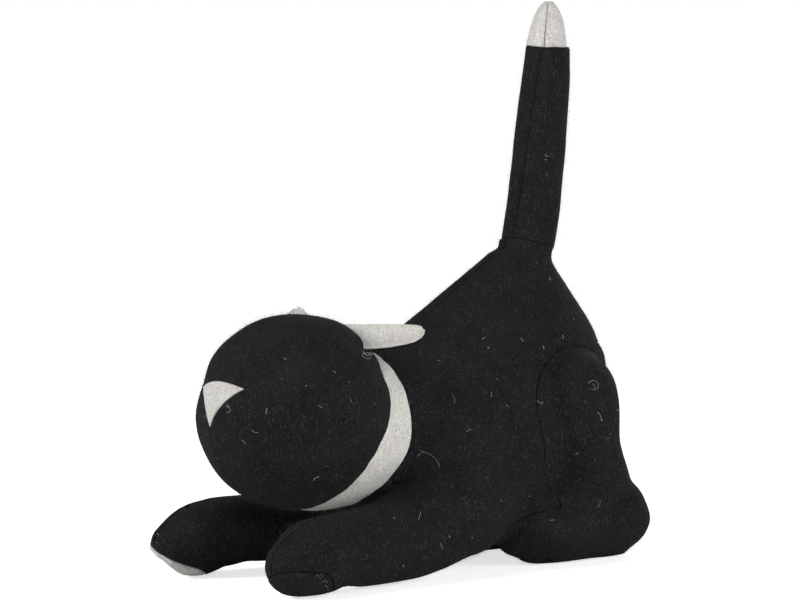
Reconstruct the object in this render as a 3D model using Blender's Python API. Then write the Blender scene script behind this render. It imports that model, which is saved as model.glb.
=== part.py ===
"""A weighted door stop in the shape of a crouching cat, sewn from thick wool felt.

Metres, +Z up. The cat faces -Y in a play bow, with its left side at +X, its four soles
on the floor at Z = 0 and its tail upright. Every cut piece of felt is a solid of the
cloth's own thickness, and the fillings and the sand bag lie inside the cover.
"""

import math

import bmesh
import bpy
from mathutils import Matrix, Vector

# Cloth and clearances
FELT = 0.0022
SEAM_GAP = 0.0006
FILLING_GAP = 0.0008
FAR = 0.6

# Head: a stuffed ball that rests against the neck strip
HEAD_RADIUS = 0.0605
HEAD_Y = -0.0885
HEAD_Z = 0.1052
HEAD_SEGMENTS = 24
HEAD_RINGS = 12

# Brow seam between the top of the head and the cheeks, from the middle of the head
BROW_FRONT_Z = 0.012
BROW_POINTS = (
    (-0.0520, 0.0178),
    (-0.0428, 0.0254),
    (-0.0233, 0.0382),
    (-0.0151, 0.0398),
    (0.0009, 0.0404),
    (0.0230, 0.0385),
)
NAPE_Z = 0.012

# Nose, a patch with three corners let into the front of the head
NOSE_HALF_WIDTH = 0.0255
NOSE_CORNER_Z = 0.0178
NOSE_TOP_Z = 0.0225
NOSE_POINT_Z = -0.0065
NOSE_HOLLOW = 0.0030

# Ears: a grey lining on a black back, sewn on across the back of the head.
# The outline goes from the root to the tip: share of the length, width in front, width behind
EAR_LENGTH = 0.0475
EAR_OUTLINE = (
    (0.00, 0.0146, 0.0146),
    (0.20, 0.0160, 0.0122),
    (0.40, 0.0168, 0.0102),
    (0.60, 0.0160, 0.0078),
    (0.75, 0.0138, 0.0060),
    (0.87, 0.0100, 0.0044),
    (0.95, 0.0062, 0.0030),
    (1.00, 0.0022, 0.0012),
)
EAR_BASE = (0.0285, 0.0230, 0.0450)
EAR_ROOT_WAY = (-0.0250, 0.0, 0.0150)
LEFT_EAR_WAY = (0.0365, 0.0300, 0.0045)
RIGHT_EAR_WAY = (0.0400, 0.0250, 0.0130)
EAR_CUP = 0.0020
EAR_ROOT = 0.012

# Neck and the grey strip round it
NECK_RADIUS = 0.0510
NECK_Z = 0.0935
COLLAR_REAR_Y = -0.0365
COLLAR_LEAN = 1.5
COLLAR_REACH = 0.0040

# Torso, as level slices: height, front, rear, half width
TORSO_SLICES = (
    (0.0105, 0.010, 0.085, 0.016),
    (0.0135, -0.015, 0.112, 0.034),
    (0.020, -0.034, 0.130, 0.049),
    (0.035, -0.042, 0.138, 0.058),
    (0.059, -0.042, 0.144, 0.062),
    (0.089, -0.041, 0.152, 0.061),
    (0.109, -0.040, 0.152, 0.056),
    (0.125, -0.036, 0.153, 0.051),
    (0.140, -0.020, 0.149, 0.045),
    (0.156, 0.004, 0.140, 0.038),
    (0.171, 0.027, 0.130, 0.031),
    (0.186, 0.048, 0.120, 0.024),
    (0.197, 0.065, 0.112, 0.020),
    (0.204, 0.074, 0.114, 0.018),
)
SLICE_POWER = 2.4

# Front legs: middle line and radius from shoulder to paw, for the left leg
FRONT_LEG = (
    (0.048, -0.001, 0.0430, 0.0360),
    (0.056, -0.045, 0.0280, 0.0265),
    (0.063, -0.085, 0.0250, 0.0245),
    (0.068, -0.119, 0.0217, 0.0250),
    (0.070, -0.1340, 0.0180, 0.0190),
)

# Where the filling swells above and behind the top of the front leg, for the left side
SHOULDER = (0.028, 0.002, 0.0820, 0.0400)
FLANK = (0.040, 0.030, 0.0460, 0.0290)

# Hind feet and thighs, for the left side
HIND_FOOT = (
    (0.054, 0.0555, 0.0238, 0.0262),
    (0.051, 0.092, 0.0260, 0.0290),
    (0.049, 0.123, 0.0255, 0.0285),
)
THIGH = (
    (0.044, 0.104, 0.046, 0.033),
    (0.040, 0.100, 0.074, 0.031),
    (0.036, 0.100, 0.102, 0.036),
)

# Tail: middle line and radius, from the seam at its root to its tip
TAIL_ROOT = (0.0, 0.0984, 0.2069)
TAIL_STATIONS = (
    (0.0984, 0.2069, 0.0170),
    (0.1035, 0.2278, 0.0169),
    (0.1084, 0.2577, 0.0166),
    (0.1128, 0.2877, 0.0162),
    (0.1173, 0.3176, 0.0152),
    (0.1199, 0.3396, 0.0139),
)
TAIL_TIP_STATIONS = (
    (0.1199, 0.3396, 0.0137),
    (0.1210, 0.3495, 0.0123),
    (0.1219, 0.3585, 0.0099),
    (0.1224, 0.3655, 0.0066),
    (0.1227, 0.3693, 0.0032),
)
TAIL_SEAM_LOW = 20.0
TAIL_SEAM_HIGH = 42.0
TAIL_SIDES = 10

# Seams of the body cover
LEG_RIDGE_RISE = 0.060
BELLY_SEAM_X = 0.040
BELLY_SEAM_Z = 0.028
BELLY_REAR_Y = 0.118
THIGH_SEAM_Y = 0.1025
THIGH_SEAM_Z = 0.0965
THIGH_SEAM_RADIUS = 0.0435
THIGH_CREASE_Y = 0.0690
THIGH_CREASE_Z = 0.0460
RUMP_HALF_WIDTH = 0.030
FOOT_INNER_X = 0.026
TOE_REACH = 0.0405
TOE_POWER = 2.8

# Soles
FRONT_SOLE_TIP_Y = -0.152
FRONT_SOLE_TIP_Z = 0.0215
FRONT_SOLE_HEEL_Y = -0.111
FRONT_SOLE_TURN = 14.0
HIND_SOLE_Z = 0.0045

# Sand bag, as level slices: height, half length, half width
BAG_Y = 0.060
BAG_SLICES = (
    (0.0150, 0.034, 0.014),
    (0.0180, 0.050, 0.028),
    (0.0230, 0.062, 0.039),
    (0.0420, 0.069, 0.045),
    (0.0640, 0.065, 0.042),
    (0.0760, 0.050, 0.028),
)
BAG_POWER = 3.0

# Fineness of the forms
RING_POINTS = 28
VOXEL = 0.004
SMOOTHING_STEPS = 12
BODY_TRIANGLES = 1300
BALLS_PER_STEP = 5
STEEPEST_LEAN = 0.6

LEFT = 1
RIGHT = -1


def remove_everything():
    for thing in list(bpy.data.objects):
        bpy.data.objects.remove(thing)


def felt_material(name, colour, roughness=0.95):
    material = bpy.data.materials.new(name)
    material.use_nodes = True
    shader = material.node_tree.nodes["Principled BSDF"]
    shader.inputs["Base Color"].default_value = (*colour, 1.0)
    shader.inputs["Roughness"].default_value = roughness
    shader.inputs["Metallic"].default_value = 0.0
    return material


def helper(name, bm):
    """An object that only shapes others: it is cut with, and never a piece itself."""
    mesh = bpy.data.meshes.new(name)
    bmesh.ops.recalc_face_normals(bm, faces=bm.faces)
    bm.to_mesh(mesh)
    bm.free()
    thing = bpy.data.objects.new(name, mesh)
    bpy.context.scene.collection.objects.link(thing)
    thing.hide_render = True
    thing.display_type = "WIRE"
    return thing


def settle(thing):
    """Bakes the modifiers of an object into its mesh."""
    graph = bpy.context.evaluated_depsgraph_get()
    mesh = bpy.data.meshes.new_from_object(thing.evaluated_get(graph))
    thing.modifiers.clear()
    thing.data = mesh
    return thing


def copy_of(thing, name):
    twin = thing.copy()
    twin.data = thing.data.copy()
    twin.name = name
    bpy.context.scene.collection.objects.link(twin)
    return twin


def combine(thing, other, operation, folded=False):
    """One exact Boolean between two closed meshes. Folded meshes may cross themselves."""
    modifier = thing.modifiers.new(operation.title(), "BOOLEAN")
    modifier.operation = operation
    modifier.solver = "EXACT"
    modifier.use_self = folded
    modifier.object = other
    return settle(thing)


def loft(rings):
    """A closed skin through rings of equal count, capped at both ends."""
    bm = bmesh.new()
    loops = [[bm.verts.new(point) for point in ring] for ring in rings]
    count = len(rings[0])
    for lower, upper in zip(loops, loops[1:]):
        for i in range(count):
            j = (i + 1) % count
            bm.faces.new((lower[i], lower[j], upper[j], upper[i]))
    bm.faces.new(list(reversed(loops[0])))
    bm.faces.new(loops[-1])
    return bm


def oblong(height, middle_y, half_length, half_width, power):
    """A level ring between an ellipse and a box, by its power."""
    ring = []
    for i in range(RING_POINTS):
        angle = 2 * math.pi * i / RING_POINTS
        across = math.copysign(abs(math.cos(angle)) ** (2 / power), math.cos(angle))
        along = math.copysign(abs(math.sin(angle)) ** (2 / power), math.sin(angle))
        ring.append(Vector((half_width * across, middle_y + half_length * along, height)))
    return ring


def add_ball(bm, centre, radius):
    bmesh.ops.create_icosphere(bm, subdivisions=3, radius=radius, matrix=Matrix.Translation(centre))


def add_limb(bm, stations, side):
    """Overlapping balls along a middle line, whose radius changes from station to station."""
    for first, second in zip(stations, stations[1:]):
        for i in range(BALLS_PER_STEP + 1):
            share = i / BALLS_PER_STEP
            x, y, z, radius = (a + (b - a) * share for a, b in zip(first, second))
            add_ball(bm, Vector((side * x, y, z)), radius)


def add_rod(bm, start, end, radius_start, radius_end):
    """A straight round bar between two points."""
    way = Vector(end) - Vector(start)
    turn = way.to_track_quat("Z", "Y").to_matrix().to_4x4()
    bmesh.ops.create_cone(
        bm,
        cap_ends=True,
        segments=RING_POINTS,
        radius1=radius_start,
        radius2=radius_end,
        depth=way.length,
        matrix=Matrix.Translation((Vector(start) + Vector(end)) / 2) @ turn,
    )


def box(name, low, high):
    bm = bmesh.new()
    size = Vector(high) - Vector(low)
    middle = (Vector(high) + Vector(low)) / 2
    bmesh.ops.create_cube(bm, size=1.0, matrix=Matrix.Translation(middle) @ Matrix.Diagonal((*size, 1.0)))
    return helper(name, bm)


def prism(name, outline, place, low, high):
    """An outline of (a, b) pairs swept from low to high. place(a, b, t) says where a point goes."""
    return helper(name, loft([[Vector(place(a, b, t)) for a, b in outline] for t in (low, high)]))


def across_x(a, b, t):
    return (t, a, b)


def up_z(a, b, t):
    return (a, b, t)


def along_y(a, b, t):
    return (a, t, b)


def head_centre():
    return Vector((0.0, HEAD_Y, HEAD_Z))


def head_ball(name, radius):
    bm = bmesh.new()
    turn = Matrix.Rotation(math.radians(90), 4, "X")
    bmesh.ops.create_uvsphere(
        bm,
        u_segments=HEAD_SEGMENTS,
        v_segments=HEAD_RINGS,
        radius=radius,
        matrix=Matrix.Translation(head_centre()) @ turn,
    )
    return helper(name, bm)


def moved_out(thing, name, distance):
    """A copy moved along its normals by an even thickness; a negative distance moves it in."""
    twin = copy_of(thing, name)
    bm = bmesh.new()
    bm.from_mesh(twin.data)
    steps = []
    for vertex in bm.verts:
        lean = min(vertex.normal.dot(face.normal) for face in vertex.link_faces)
        steps.append(vertex.normal * distance / max(lean, STEEPEST_LEAN))
    for vertex, step in zip(bm.verts, steps):
        vertex.co += step
    bm.to_mesh(twin.data)
    bm.free()
    return twin


def hollow(outer, inner, name):
    """The cloth between an outer skin and an inner one that lies wholly inside it."""
    bm = bmesh.new()
    bm.from_mesh(inner.data)
    bmesh.ops.reverse_faces(bm, faces=bm.faces)
    bm.from_mesh(outer.data)
    mesh = bpy.data.meshes.new(name)
    bm.to_mesh(mesh)
    bm.free()
    shell = bpy.data.objects.new(name, mesh)
    bpy.context.scene.collection.objects.link(shell)
    shell.hide_render = True
    shell.display_type = "WIRE"
    return shell


def tail_axis():
    first, second = TAIL_STATIONS[:2]
    return Vector((0.0, second[0] - first[0], second[1] - first[1])).normalized()


def body_form():
    """The smooth outer skin of torso, legs, feet and the root of the tail, before any cut."""
    middle_y = [(front + rear) / 2 for _, front, rear, _ in TORSO_SLICES]
    half_length = [(rear - front) / 2 for _, front, rear, _ in TORSO_SLICES]
    rings = [
        oblong(height, middle, length, half_width, SLICE_POWER)
        for (height, _, _, half_width), middle, length in zip(TORSO_SLICES, middle_y, half_length)
    ]
    bm = loft(rings)
    root = Vector(TAIL_ROOT)
    radius = TAIL_STATIONS[0][2]
    add_rod(bm, root - tail_axis() * 3 * radius, root + tail_axis() * 2 * radius, radius, radius)
    neck_rear = Vector((0.0, COLLAR_REAR_Y + NECK_RADIUS, NECK_Z))
    neck_front = Vector((0.0, HEAD_Y, NECK_Z))
    add_rod(bm, neck_rear, neck_front, NECK_RADIUS, NECK_RADIUS)
    for side in (LEFT, RIGHT):
        add_limb(bm, (SHOULDER, *FRONT_LEG), side)
        add_limb(bm, (FRONT_LEG[0], FLANK), side)
        add_limb(bm, HIND_FOOT, side)
        add_limb(bm, THIGH, side)
    form = helper("body_form", bm)
    merge = form.modifiers.new("Merge forms", "REMESH")
    merge.mode = "VOXEL"
    merge.voxel_size = VOXEL
    smooth = form.modifiers.new("Smooth", "SMOOTH")
    smooth.factor = 0.5
    smooth.iterations = SMOOTHING_STEPS
    settle(form)
    faces = 2 * len(form.data.polygons)
    thin = form.modifiers.new("Thin out", "DECIMATE")
    thin.ratio = BODY_TRIANGLES / faces
    thin.use_symmetry = True
    thin.symmetry_axis = "X"
    thin.use_collapse_triangulate = True
    relax = form.modifiers.new("Relax", "SMOOTH")
    relax.factor = 0.4
    relax.iterations = 2
    return settle(form)


def above_floor(form, name, inset):
    """The form moved in by inset and cut level, as deep above the floor as it was moved in."""
    skin = moved_out(form, name, -inset)
    above = box("floor_cut", (-FAR, -FAR, inset), (FAR, FAR, FAR))
    return combine(skin, above, "INTERSECT", folded=True)


def trimmed(skin, gap):
    """Cuts away what the head and the tail take up, less a gap."""
    combine(skin, head_ball("head_room", HEAD_RADIUS + gap), "DIFFERENCE")
    return combine(skin, beyond_tail_seam("tail_room", -gap), "DIFFERENCE")


def beyond_tail_seam(name, shift):
    """Everything above the seam at the tail's root."""
    side = 4 * TAIL_STATIONS[0][2]
    bm = bmesh.new()
    turn = tail_axis().to_track_quat("Z", "Y").to_matrix().to_4x4()
    middle = Vector(TAIL_ROOT) + tail_axis() * (shift + side / 2)
    bmesh.ops.create_cube(bm, size=side, matrix=Matrix.Translation(middle) @ turn)
    return helper(name, bm)


def half_space(side, grow=0.0):
    """The left or right half, up to half a seam's gap from the middle."""
    edge = SEAM_GAP / 2 - grow
    if side == LEFT:
        return box("left_half", (edge, -FAR, -FAR), (FAR, FAR, FAR))
    return box("right_half", (-FAR, -FAR, -FAR), (-edge, FAR, FAR))


def collar_region(grow=0.0):
    """A round slab across the neck, from inside the head to the collar's rear edge."""
    bm = bmesh.new()
    lean = Matrix.Rotation(math.radians(90 - COLLAR_LEAN), 4, "X")
    depth = 2 * NECK_RADIUS
    middle = Vector((0.0, COLLAR_REAR_Y + grow - depth / 2, NECK_Z))
    radius = NECK_RADIUS + COLLAR_REACH + grow
    bmesh.ops.create_cone(
        bm,
        cap_ends=True,
        segments=RING_POINTS,
        radius1=radius,
        radius2=radius,
        depth=depth,
        matrix=Matrix.Translation(middle) @ lean,
    )
    return helper("collar_region", bm)


def underbody_region(grow=0.0):
    """The belly, the chest and the inner halves of the front legs, seen from above."""
    ridge = [(x + grow, y) for x, y, _, _ in FRONT_LEG[1:]]
    shoulder_x, shoulder_y, _, _ = FRONT_LEG[0]
    ridge.insert(0, (shoulder_x + grow, shoulder_y + grow))
    paw_x, paw_y, _, paw_radius = FRONT_LEG[-1]
    ridge.append((paw_x + grow, paw_y - 2 * paw_radius))
    outline = [(-x, y) for x, y in ridge] + [(x, y) for x, y in reversed(ridge)]
    legs = prism("underbody_region", outline, up_z, -FAR, LEG_RIDGE_RISE + grow)
    reach = BELLY_SEAM_X + grow
    belly = box(
        "belly_region",
        (-reach, FRONT_LEG[1][1], -FAR),
        (reach, BELLY_REAR_Y + grow, BELLY_SEAM_Z + grow),
    )
    return combine(legs, belly, "UNION")


def arc(centre_a, centre_b, radius, start, end, steps):
    """Points on a circle between two angles in degrees."""
    angles = [math.radians(start + (end - start) * i / steps) for i in range(steps + 1)]
    return [(centre_a + radius * math.cos(t), centre_b + radius * math.sin(t)) for t in angles]


def hind_leg_region(side, grow=0.0):
    """A thigh with a round top, seen from the side, and the whole foot below it."""
    tuck_y = THIGH_CREASE_Y - grow
    top = arc(THIGH_SEAM_Y, THIGH_SEAM_Z, THIGH_SEAM_RADIUS + grow, 35, 180, 14)
    tuck_z = THIGH_CREASE_Z + grow
    share = 2 / TOE_POWER
    quarter = arc(0.0, 0.0, 1.0, 90, 180, 6)
    toe = [(tuck_y - abs(a) ** share * TOE_REACH, abs(b) ** share * tuck_z) for a, b in quarter]
    below = [(toe[-1][0], -FAR), (FAR, -FAR)]
    thigh_outline = top + toe + below + [(FAR, top[0][1])]
    foot_outline = toe + below + [(FAR, tuck_z)]
    thigh = prism("thigh_region", thigh_outline, across_x, side * (RUMP_HALF_WIDTH - grow), side * FAR)
    foot = prism("foot_region", foot_outline, across_x, side * (FOOT_INNER_X - grow), side * FAR)
    return combine(thigh, foot, "UNION")


def rump_region(grow=0.0):
    """The gusset between the thighs, from below the tail down to the belly."""
    reach = RUMP_HALF_WIDTH - SEAM_GAP + grow
    top = THIGH_SEAM_Z + THIGH_SEAM_RADIUS + grow
    return box("rump_region", (-reach, BELLY_REAR_Y - grow, -FAR), (reach, FAR, top))


def front_sole_region(side, grow=0.0):
    """Below a plane that rises from the heel of the paw to its tip."""
    run = FRONT_SOLE_HEEL_Y - FRONT_SOLE_TIP_Y
    slope = math.atan2(FRONT_SOLE_TIP_Z, run)
    paw_x, paw_y, _, paw_radius = FRONT_LEG[-1]
    bm = bmesh.new()
    size = Vector((4 * paw_radius, 2 * run, 2 * FRONT_SOLE_TIP_Z))
    turn = Matrix.Rotation(math.radians(side * FRONT_SOLE_TURN), 4, "Z") @ Matrix.Rotation(-slope, 4, "X")
    under = Vector((0.0, 0.0, grow - size.z / 2))
    bmesh.ops.create_cube(bm, size=1.0, matrix=Matrix.Translation(under) @ Matrix.Diagonal((*size, 1.0)))
    middle = Vector((side * paw_x, (FRONT_SOLE_HEEL_Y + FRONT_SOLE_TIP_Y) / 2, FRONT_SOLE_TIP_Z / 2))
    bmesh.ops.transform(bm, matrix=Matrix.Translation(middle) @ turn, verts=bm.verts)
    return helper("front_sole_region", bm)


def hind_sole_region(side, grow=0.0):
    corners = (side * (FOOT_INNER_X - grow), side * FAR)
    front = HIND_FOOT[0][1] - 2 * HIND_FOOT[0][3]
    return box("hind_sole_region", (min(corners), front, -FAR), (max(corners), FAR, HIND_SOLE_Z + grow))


def without_slivers(thing):
    """Closes the gaps and edges of less than a hundredth of a millimetre that cuts leave."""
    bm = bmesh.new()
    bm.from_mesh(thing.data)
    bmesh.ops.remove_doubles(bm, verts=bm.verts, dist=0.00001)
    bmesh.ops.dissolve_degenerate(bm, edges=bm.edges, dist=0.00001)
    bm.to_mesh(thing.data)
    bm.free()
    return thing


def keep_largest(thing):
    """Drops the crumbs that cuts close to each other leave."""
    without_slivers(thing)
    bm = bmesh.new()
    bm.from_mesh(thing.data)
    groups = []
    unseen = set(bm.verts)
    while unseen:
        group = set()
        edge_of_group = [unseen.pop()]
        while edge_of_group:
            vertex = edge_of_group.pop()
            group.add(vertex)
            for link in vertex.link_edges:
                other = link.other_vert(vertex)
                if other in unseen:
                    unseen.remove(other)
                    edge_of_group.append(other)
        groups.append(group)
    largest = max(groups, key=len)
    bmesh.ops.delete(bm, geom=[v for v in bm.verts if v not in largest], context="VERTS")
    bm.to_mesh(thing.data)
    bm.free()


def show(thing, name, material):
    """Makes a finished solid a piece of the door stop."""
    thing.name = name
    thing.data.name = name
    thing.hide_render = False
    thing.display_type = "TEXTURED"
    thing.data.materials.clear()
    thing.data.materials.append(material)
    thing.data.shade_smooth()
    thing.data.set_sharp_from_angle(angle=math.radians(40))
    return thing


def panel(cloth, name, material, keep=(), remove=()):
    """A piece of felt: the cloth inside every region to keep and outside those to remove."""
    piece = copy_of(cloth, name)
    for region in keep:
        combine(piece, region, "INTERSECT")
    for region in remove:
        combine(piece, region, "DIFFERENCE")
    keep_largest(piece)
    return show(piece, name, material)


def make_body(black, grey, white, calico):
    form = body_form()
    outer = trimmed(above_floor(form, "body_outer", 0.0), SEAM_GAP)
    inner = above_floor(form, "body_inner", FELT)
    cover = without_slivers(combine(copy_of(outer, "body_cover"), inner, "DIFFERENCE"))
    for side, word in ((LEFT, "left"), (RIGHT, "right")):
        front_sole_colour = black if side == LEFT else grey
        panel(
            cover,
            f"body_side_{word}",
            black,
            keep=[half_space(side)],
            remove=[
                collar_region(SEAM_GAP),
                underbody_region(SEAM_GAP),
                hind_leg_region(side, SEAM_GAP),
                rump_region(SEAM_GAP),
                front_sole_region(side, SEAM_GAP),
            ],
        )
        panel(
            cover,
            f"hind_leg_{word}",
            black,
            keep=[hind_leg_region(side)],
            remove=[hind_sole_region(side, SEAM_GAP)],
        )
        panel(cover, f"hind_sole_{word}", black, keep=[hind_sole_region(side)])
        panel(cover, f"front_sole_{word}", front_sole_colour, keep=[front_sole_region(side)])
    legs_and_soles = [hind_leg_region(side, SEAM_GAP) for side in (LEFT, RIGHT)]
    legs_and_soles += [front_sole_region(side, SEAM_GAP) for side in (LEFT, RIGHT)]
    panel(
        cover,
        "underbody",
        black,
        keep=[underbody_region()],
        remove=[collar_region(SEAM_GAP), rump_region(SEAM_GAP), *legs_and_soles],
    )
    panel(cover, "rump_gusset", black, keep=[rump_region()], remove=legs_and_soles[:2])
    panel(cover, "collar", grey, keep=[collar_region()])
    make_body_filling(form, white, calico)


def bag_rings(grow=0.0):
    return [
        oblong(height, BAG_Y, half_length + grow, half_width + grow, BAG_POWER)
        for height, half_length, half_width in BAG_SLICES
    ]


def make_body_filling(form, white, calico):
    """The stuffing, with a pocket open to the belly for the bag of sand."""
    filling = trimmed(above_floor(form, "body_filling", FELT + FILLING_GAP), FELT)
    rings = bag_rings(FILLING_GAP)
    mouth = [point - Vector((0.0, 0.0, rings[0][0].z)) for point in rings[0]]
    top = [point + Vector((0.0, 0.0, FILLING_GAP)) for point in rings[-1]]
    pocket = helper("bag_pocket", loft([mouth, *rings[:-1], top]))
    combine(filling, pocket, "DIFFERENCE")
    keep_largest(filling)
    show(filling, "body_filling", white)
    show(helper("sand_bag", loft(bag_rings())), "sand_bag", calico)


def brow_region(grow=0.0):
    """The top of the head, seen from the side: above the brow seam and forward of the nape."""
    front = [(-FAR, BROW_FRONT_Z - grow)]
    seam = [(y, z - grow) for y, z in BROW_POINTS]
    nape = [(HEAD_RADIUS, NAPE_Z - grow), (FAR, NAPE_Z - grow)]
    outline = [(y + HEAD_Y, z + HEAD_Z) for y, z in front + seam + nape + [(FAR, FAR), (-FAR, FAR)]]
    return prism("brow_region", outline, across_x, -FAR, FAR)


def nose_region(grow=0.0):
    """Three corners, a bowed top and hollow lower sides, seen from the front."""
    corner = Vector((NOSE_HALF_WIDTH, NOSE_CORNER_Z))
    point = Vector((0.0, NOSE_POINT_Z))
    steps = 5
    top = []
    side = []
    for i in range(steps + 1):
        share = i / steps
        rise = (NOSE_TOP_Z - NOSE_CORNER_Z) * (1 - share**2)
        top.append(Vector((share * NOSE_HALF_WIDTH, NOSE_CORNER_Z + rise)))
        straight = corner.lerp(point, share)
        dip = NOSE_HOLLOW * math.sin(math.pi * share)
        side.append(straight + Vector((-dip, dip)) / math.sqrt(2))
    right_half = top[:-1] + side
    left_half = [Vector((-p.x, p.y)) for p in reversed(right_half[1:-1])]
    outline = right_half + left_half
    middle = Vector((0.0, sum(p.y for p in outline) / len(outline)))
    grown = [p + (p - middle).normalized() * 2 * grow for p in outline]
    placed = [(p.x, p.y + HEAD_Z) for p in grown]
    return prism("nose_region", placed, along_y, HEAD_Y - FAR, HEAD_Y)


def make_head(black, grey, white):
    outer = head_ball("head_outer", HEAD_RADIUS)
    inner = head_ball("head_inner", HEAD_RADIUS - FELT)
    cover = hollow(outer, inner, "head_cover")
    panel(cover, "head_top", black, keep=[brow_region()], remove=[nose_region(SEAM_GAP)])
    for side, word in ((LEFT, "left"), (RIGHT, "right")):
        panel(
            cover,
            f"cheek_{word}",
            black,
            keep=[half_space(side)],
            remove=[brow_region(SEAM_GAP), nose_region(SEAM_GAP)],
        )
    panel(cover, "nose", grey, keep=[nose_region()])
    show(head_ball("head_filling", HEAD_RADIUS - FELT - FILLING_GAP), "head_filling", white)


def ear_layer(side, low, high):
    """One layer of an ear between two heights above its seam plane, cupped across its width."""
    tip_way = Vector(LEFT_EAR_WAY if side == LEFT else RIGHT_EAR_WAY).normalized()
    root_way = Vector(EAR_ROOT_WAY).normalized()
    face_way = root_way.cross(tip_way).normalized()
    if face_way.y > 0:
        face_way = -face_way
    base = Vector(EAR_BASE)
    across = 6
    stations = [(-EAR_ROOT / EAR_LENGTH, *EAR_OUTLINE[0][1:]), *EAR_OUTLINE]
    rings = []
    for share, width_front, width_behind in stations:
        ring = []
        for height, order in ((low, range(across + 1)), (high, reversed(range(across + 1)))):
            for j in order:
                v = 2 * j / across - 1
                offset = v * (width_behind if v > 0 else width_front)
                cup = EAR_CUP * v * v
                place = base + tip_way * share * EAR_LENGTH + root_way * offset + face_way * (height + cup)
                ring.append(Vector((side * place.x, place.y, place.z)) + head_centre())
        rings.append(ring)
    return helper("ear_layer", loft(rings))


def make_ears(black, grey):
    for side, word in ((LEFT, "left"), (RIGHT, "right")):
        layers = ((f"ear_back_{word}", black, -FELT - SEAM_GAP), (f"ear_lining_{word}", grey, 0.0))
        for name, material, low in layers:
            layer = ear_layer(side, low, low + FELT)
            combine(layer, head_ball("ear_room", HEAD_RADIUS + SEAM_GAP), "DIFFERENCE")
            keep_largest(layer)
            show(layer, name, material)


def tail_frame(stations, i):
    """Centre of a station and the axes across the tail there."""
    before = stations[max(0, i - 1)]
    after = stations[min(len(stations) - 1, i + 1)]
    way = Vector((0.0, after[0] - before[0], after[1] - before[1])).normalized()
    centre = Vector((0.0, stations[i][0], stations[i][1]))
    across = Vector((1.0, 0.0, 0.0))
    return centre, across, way.cross(across), way


def half_tube(stations, start_turn, end_turn, half, lift):
    """One half of a felt tube, split by a seam that turns as it climbs."""
    rings = []
    for i, (_, _, radius) in enumerate(stations):
        centre, across, front, way = tail_frame(stations, i)
        centre = centre + way * lift
        share = i / (len(stations) - 1)
        turn = math.radians(start_turn + (end_turn - start_turn) * share - 90 + 180 * half)
        inner_radius = max(radius - FELT, FELT / 8)
        ring = []
        for reach, order in ((radius, range(TAIL_SIDES + 1)), (inner_radius, reversed(range(TAIL_SIDES + 1)))):
            edge = SEAM_GAP / 2 / reach if reach > SEAM_GAP else math.radians(45)
            for j in order:
                angle = turn + edge + (math.pi - 2 * edge) * j / TAIL_SIDES
                ring.append(centre + across * (reach * math.cos(angle)) + front * (reach * math.sin(angle)))
        rings.append(ring)
    return helper("half_tube", loft(rings))


def make_tail(black, grey, white):
    for half, word in enumerate(("left", "right")):
        tube = half_tube(TAIL_STATIONS, TAIL_SEAM_LOW, TAIL_SEAM_HIGH, half, 0.0)
        show(tube, f"tail_{word}", black)
        tip = half_tube(TAIL_TIP_STATIONS, TAIL_SEAM_HIGH, TAIL_SEAM_HIGH, half, SEAM_GAP)
        show(tip, f"tail_tip_{word}", grey)
    inset = FELT + FILLING_GAP
    stations = TAIL_STATIONS + TAIL_TIP_STATIONS[1:-1]
    rings = []
    for i, (_, _, radius) in enumerate(stations):
        centre, across, front, _ = tail_frame(stations, i)
        reach = radius - inset
        angles = [2 * math.pi * j / (2 * TAIL_SIDES) for j in range(2 * TAIL_SIDES)]
        rings.append([centre + across * (reach * math.cos(t)) + front * (reach * math.sin(t)) for t in angles])
    show(helper("tail_filling", loft(rings)), "tail_filling", white)


def remove_helpers():
    for thing in list(bpy.data.objects):
        if thing.hide_render:
            bpy.data.objects.remove(thing)


def settle_on_origin():
    """Moves the whole door stop so that the middle of its footprint is at the origin."""
    meshes = [thing.data for thing in bpy.data.objects]
    points = [vertex.co for mesh in meshes for vertex in mesh.vertices]
    low = Vector([min(point[i] for point in points) for i in range(3)])
    high = Vector([max(point[i] for point in points) for i in range(3)])
    shift = Vector(((low.x + high.x) / -2, (low.y + high.y) / -2, -low.z))
    for mesh in meshes:
        mesh.transform(Matrix.Translation(shift))


def main():
    remove_everything()
    black = felt_material("felt_black", (0.016, 0.016, 0.018))
    grey = felt_material("felt_grey", (0.56, 0.55, 0.52))
    white = felt_material("filling", (0.85, 0.85, 0.83))
    calico = felt_material("sand_bag", (0.62, 0.55, 0.42))
    make_body(black, grey, white, calico)
    make_head(black, grey, white)
    make_ears(black, grey)
    make_tail(black, grey, white)
    remove_helpers()
    settle_on_origin()


if __name__ == "__main__":
    main()
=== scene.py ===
import math

import bmesh
import bpy
import numpy as np
from mathutils import Matrix, Vector, bvhtree, kdtree, noise


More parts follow.
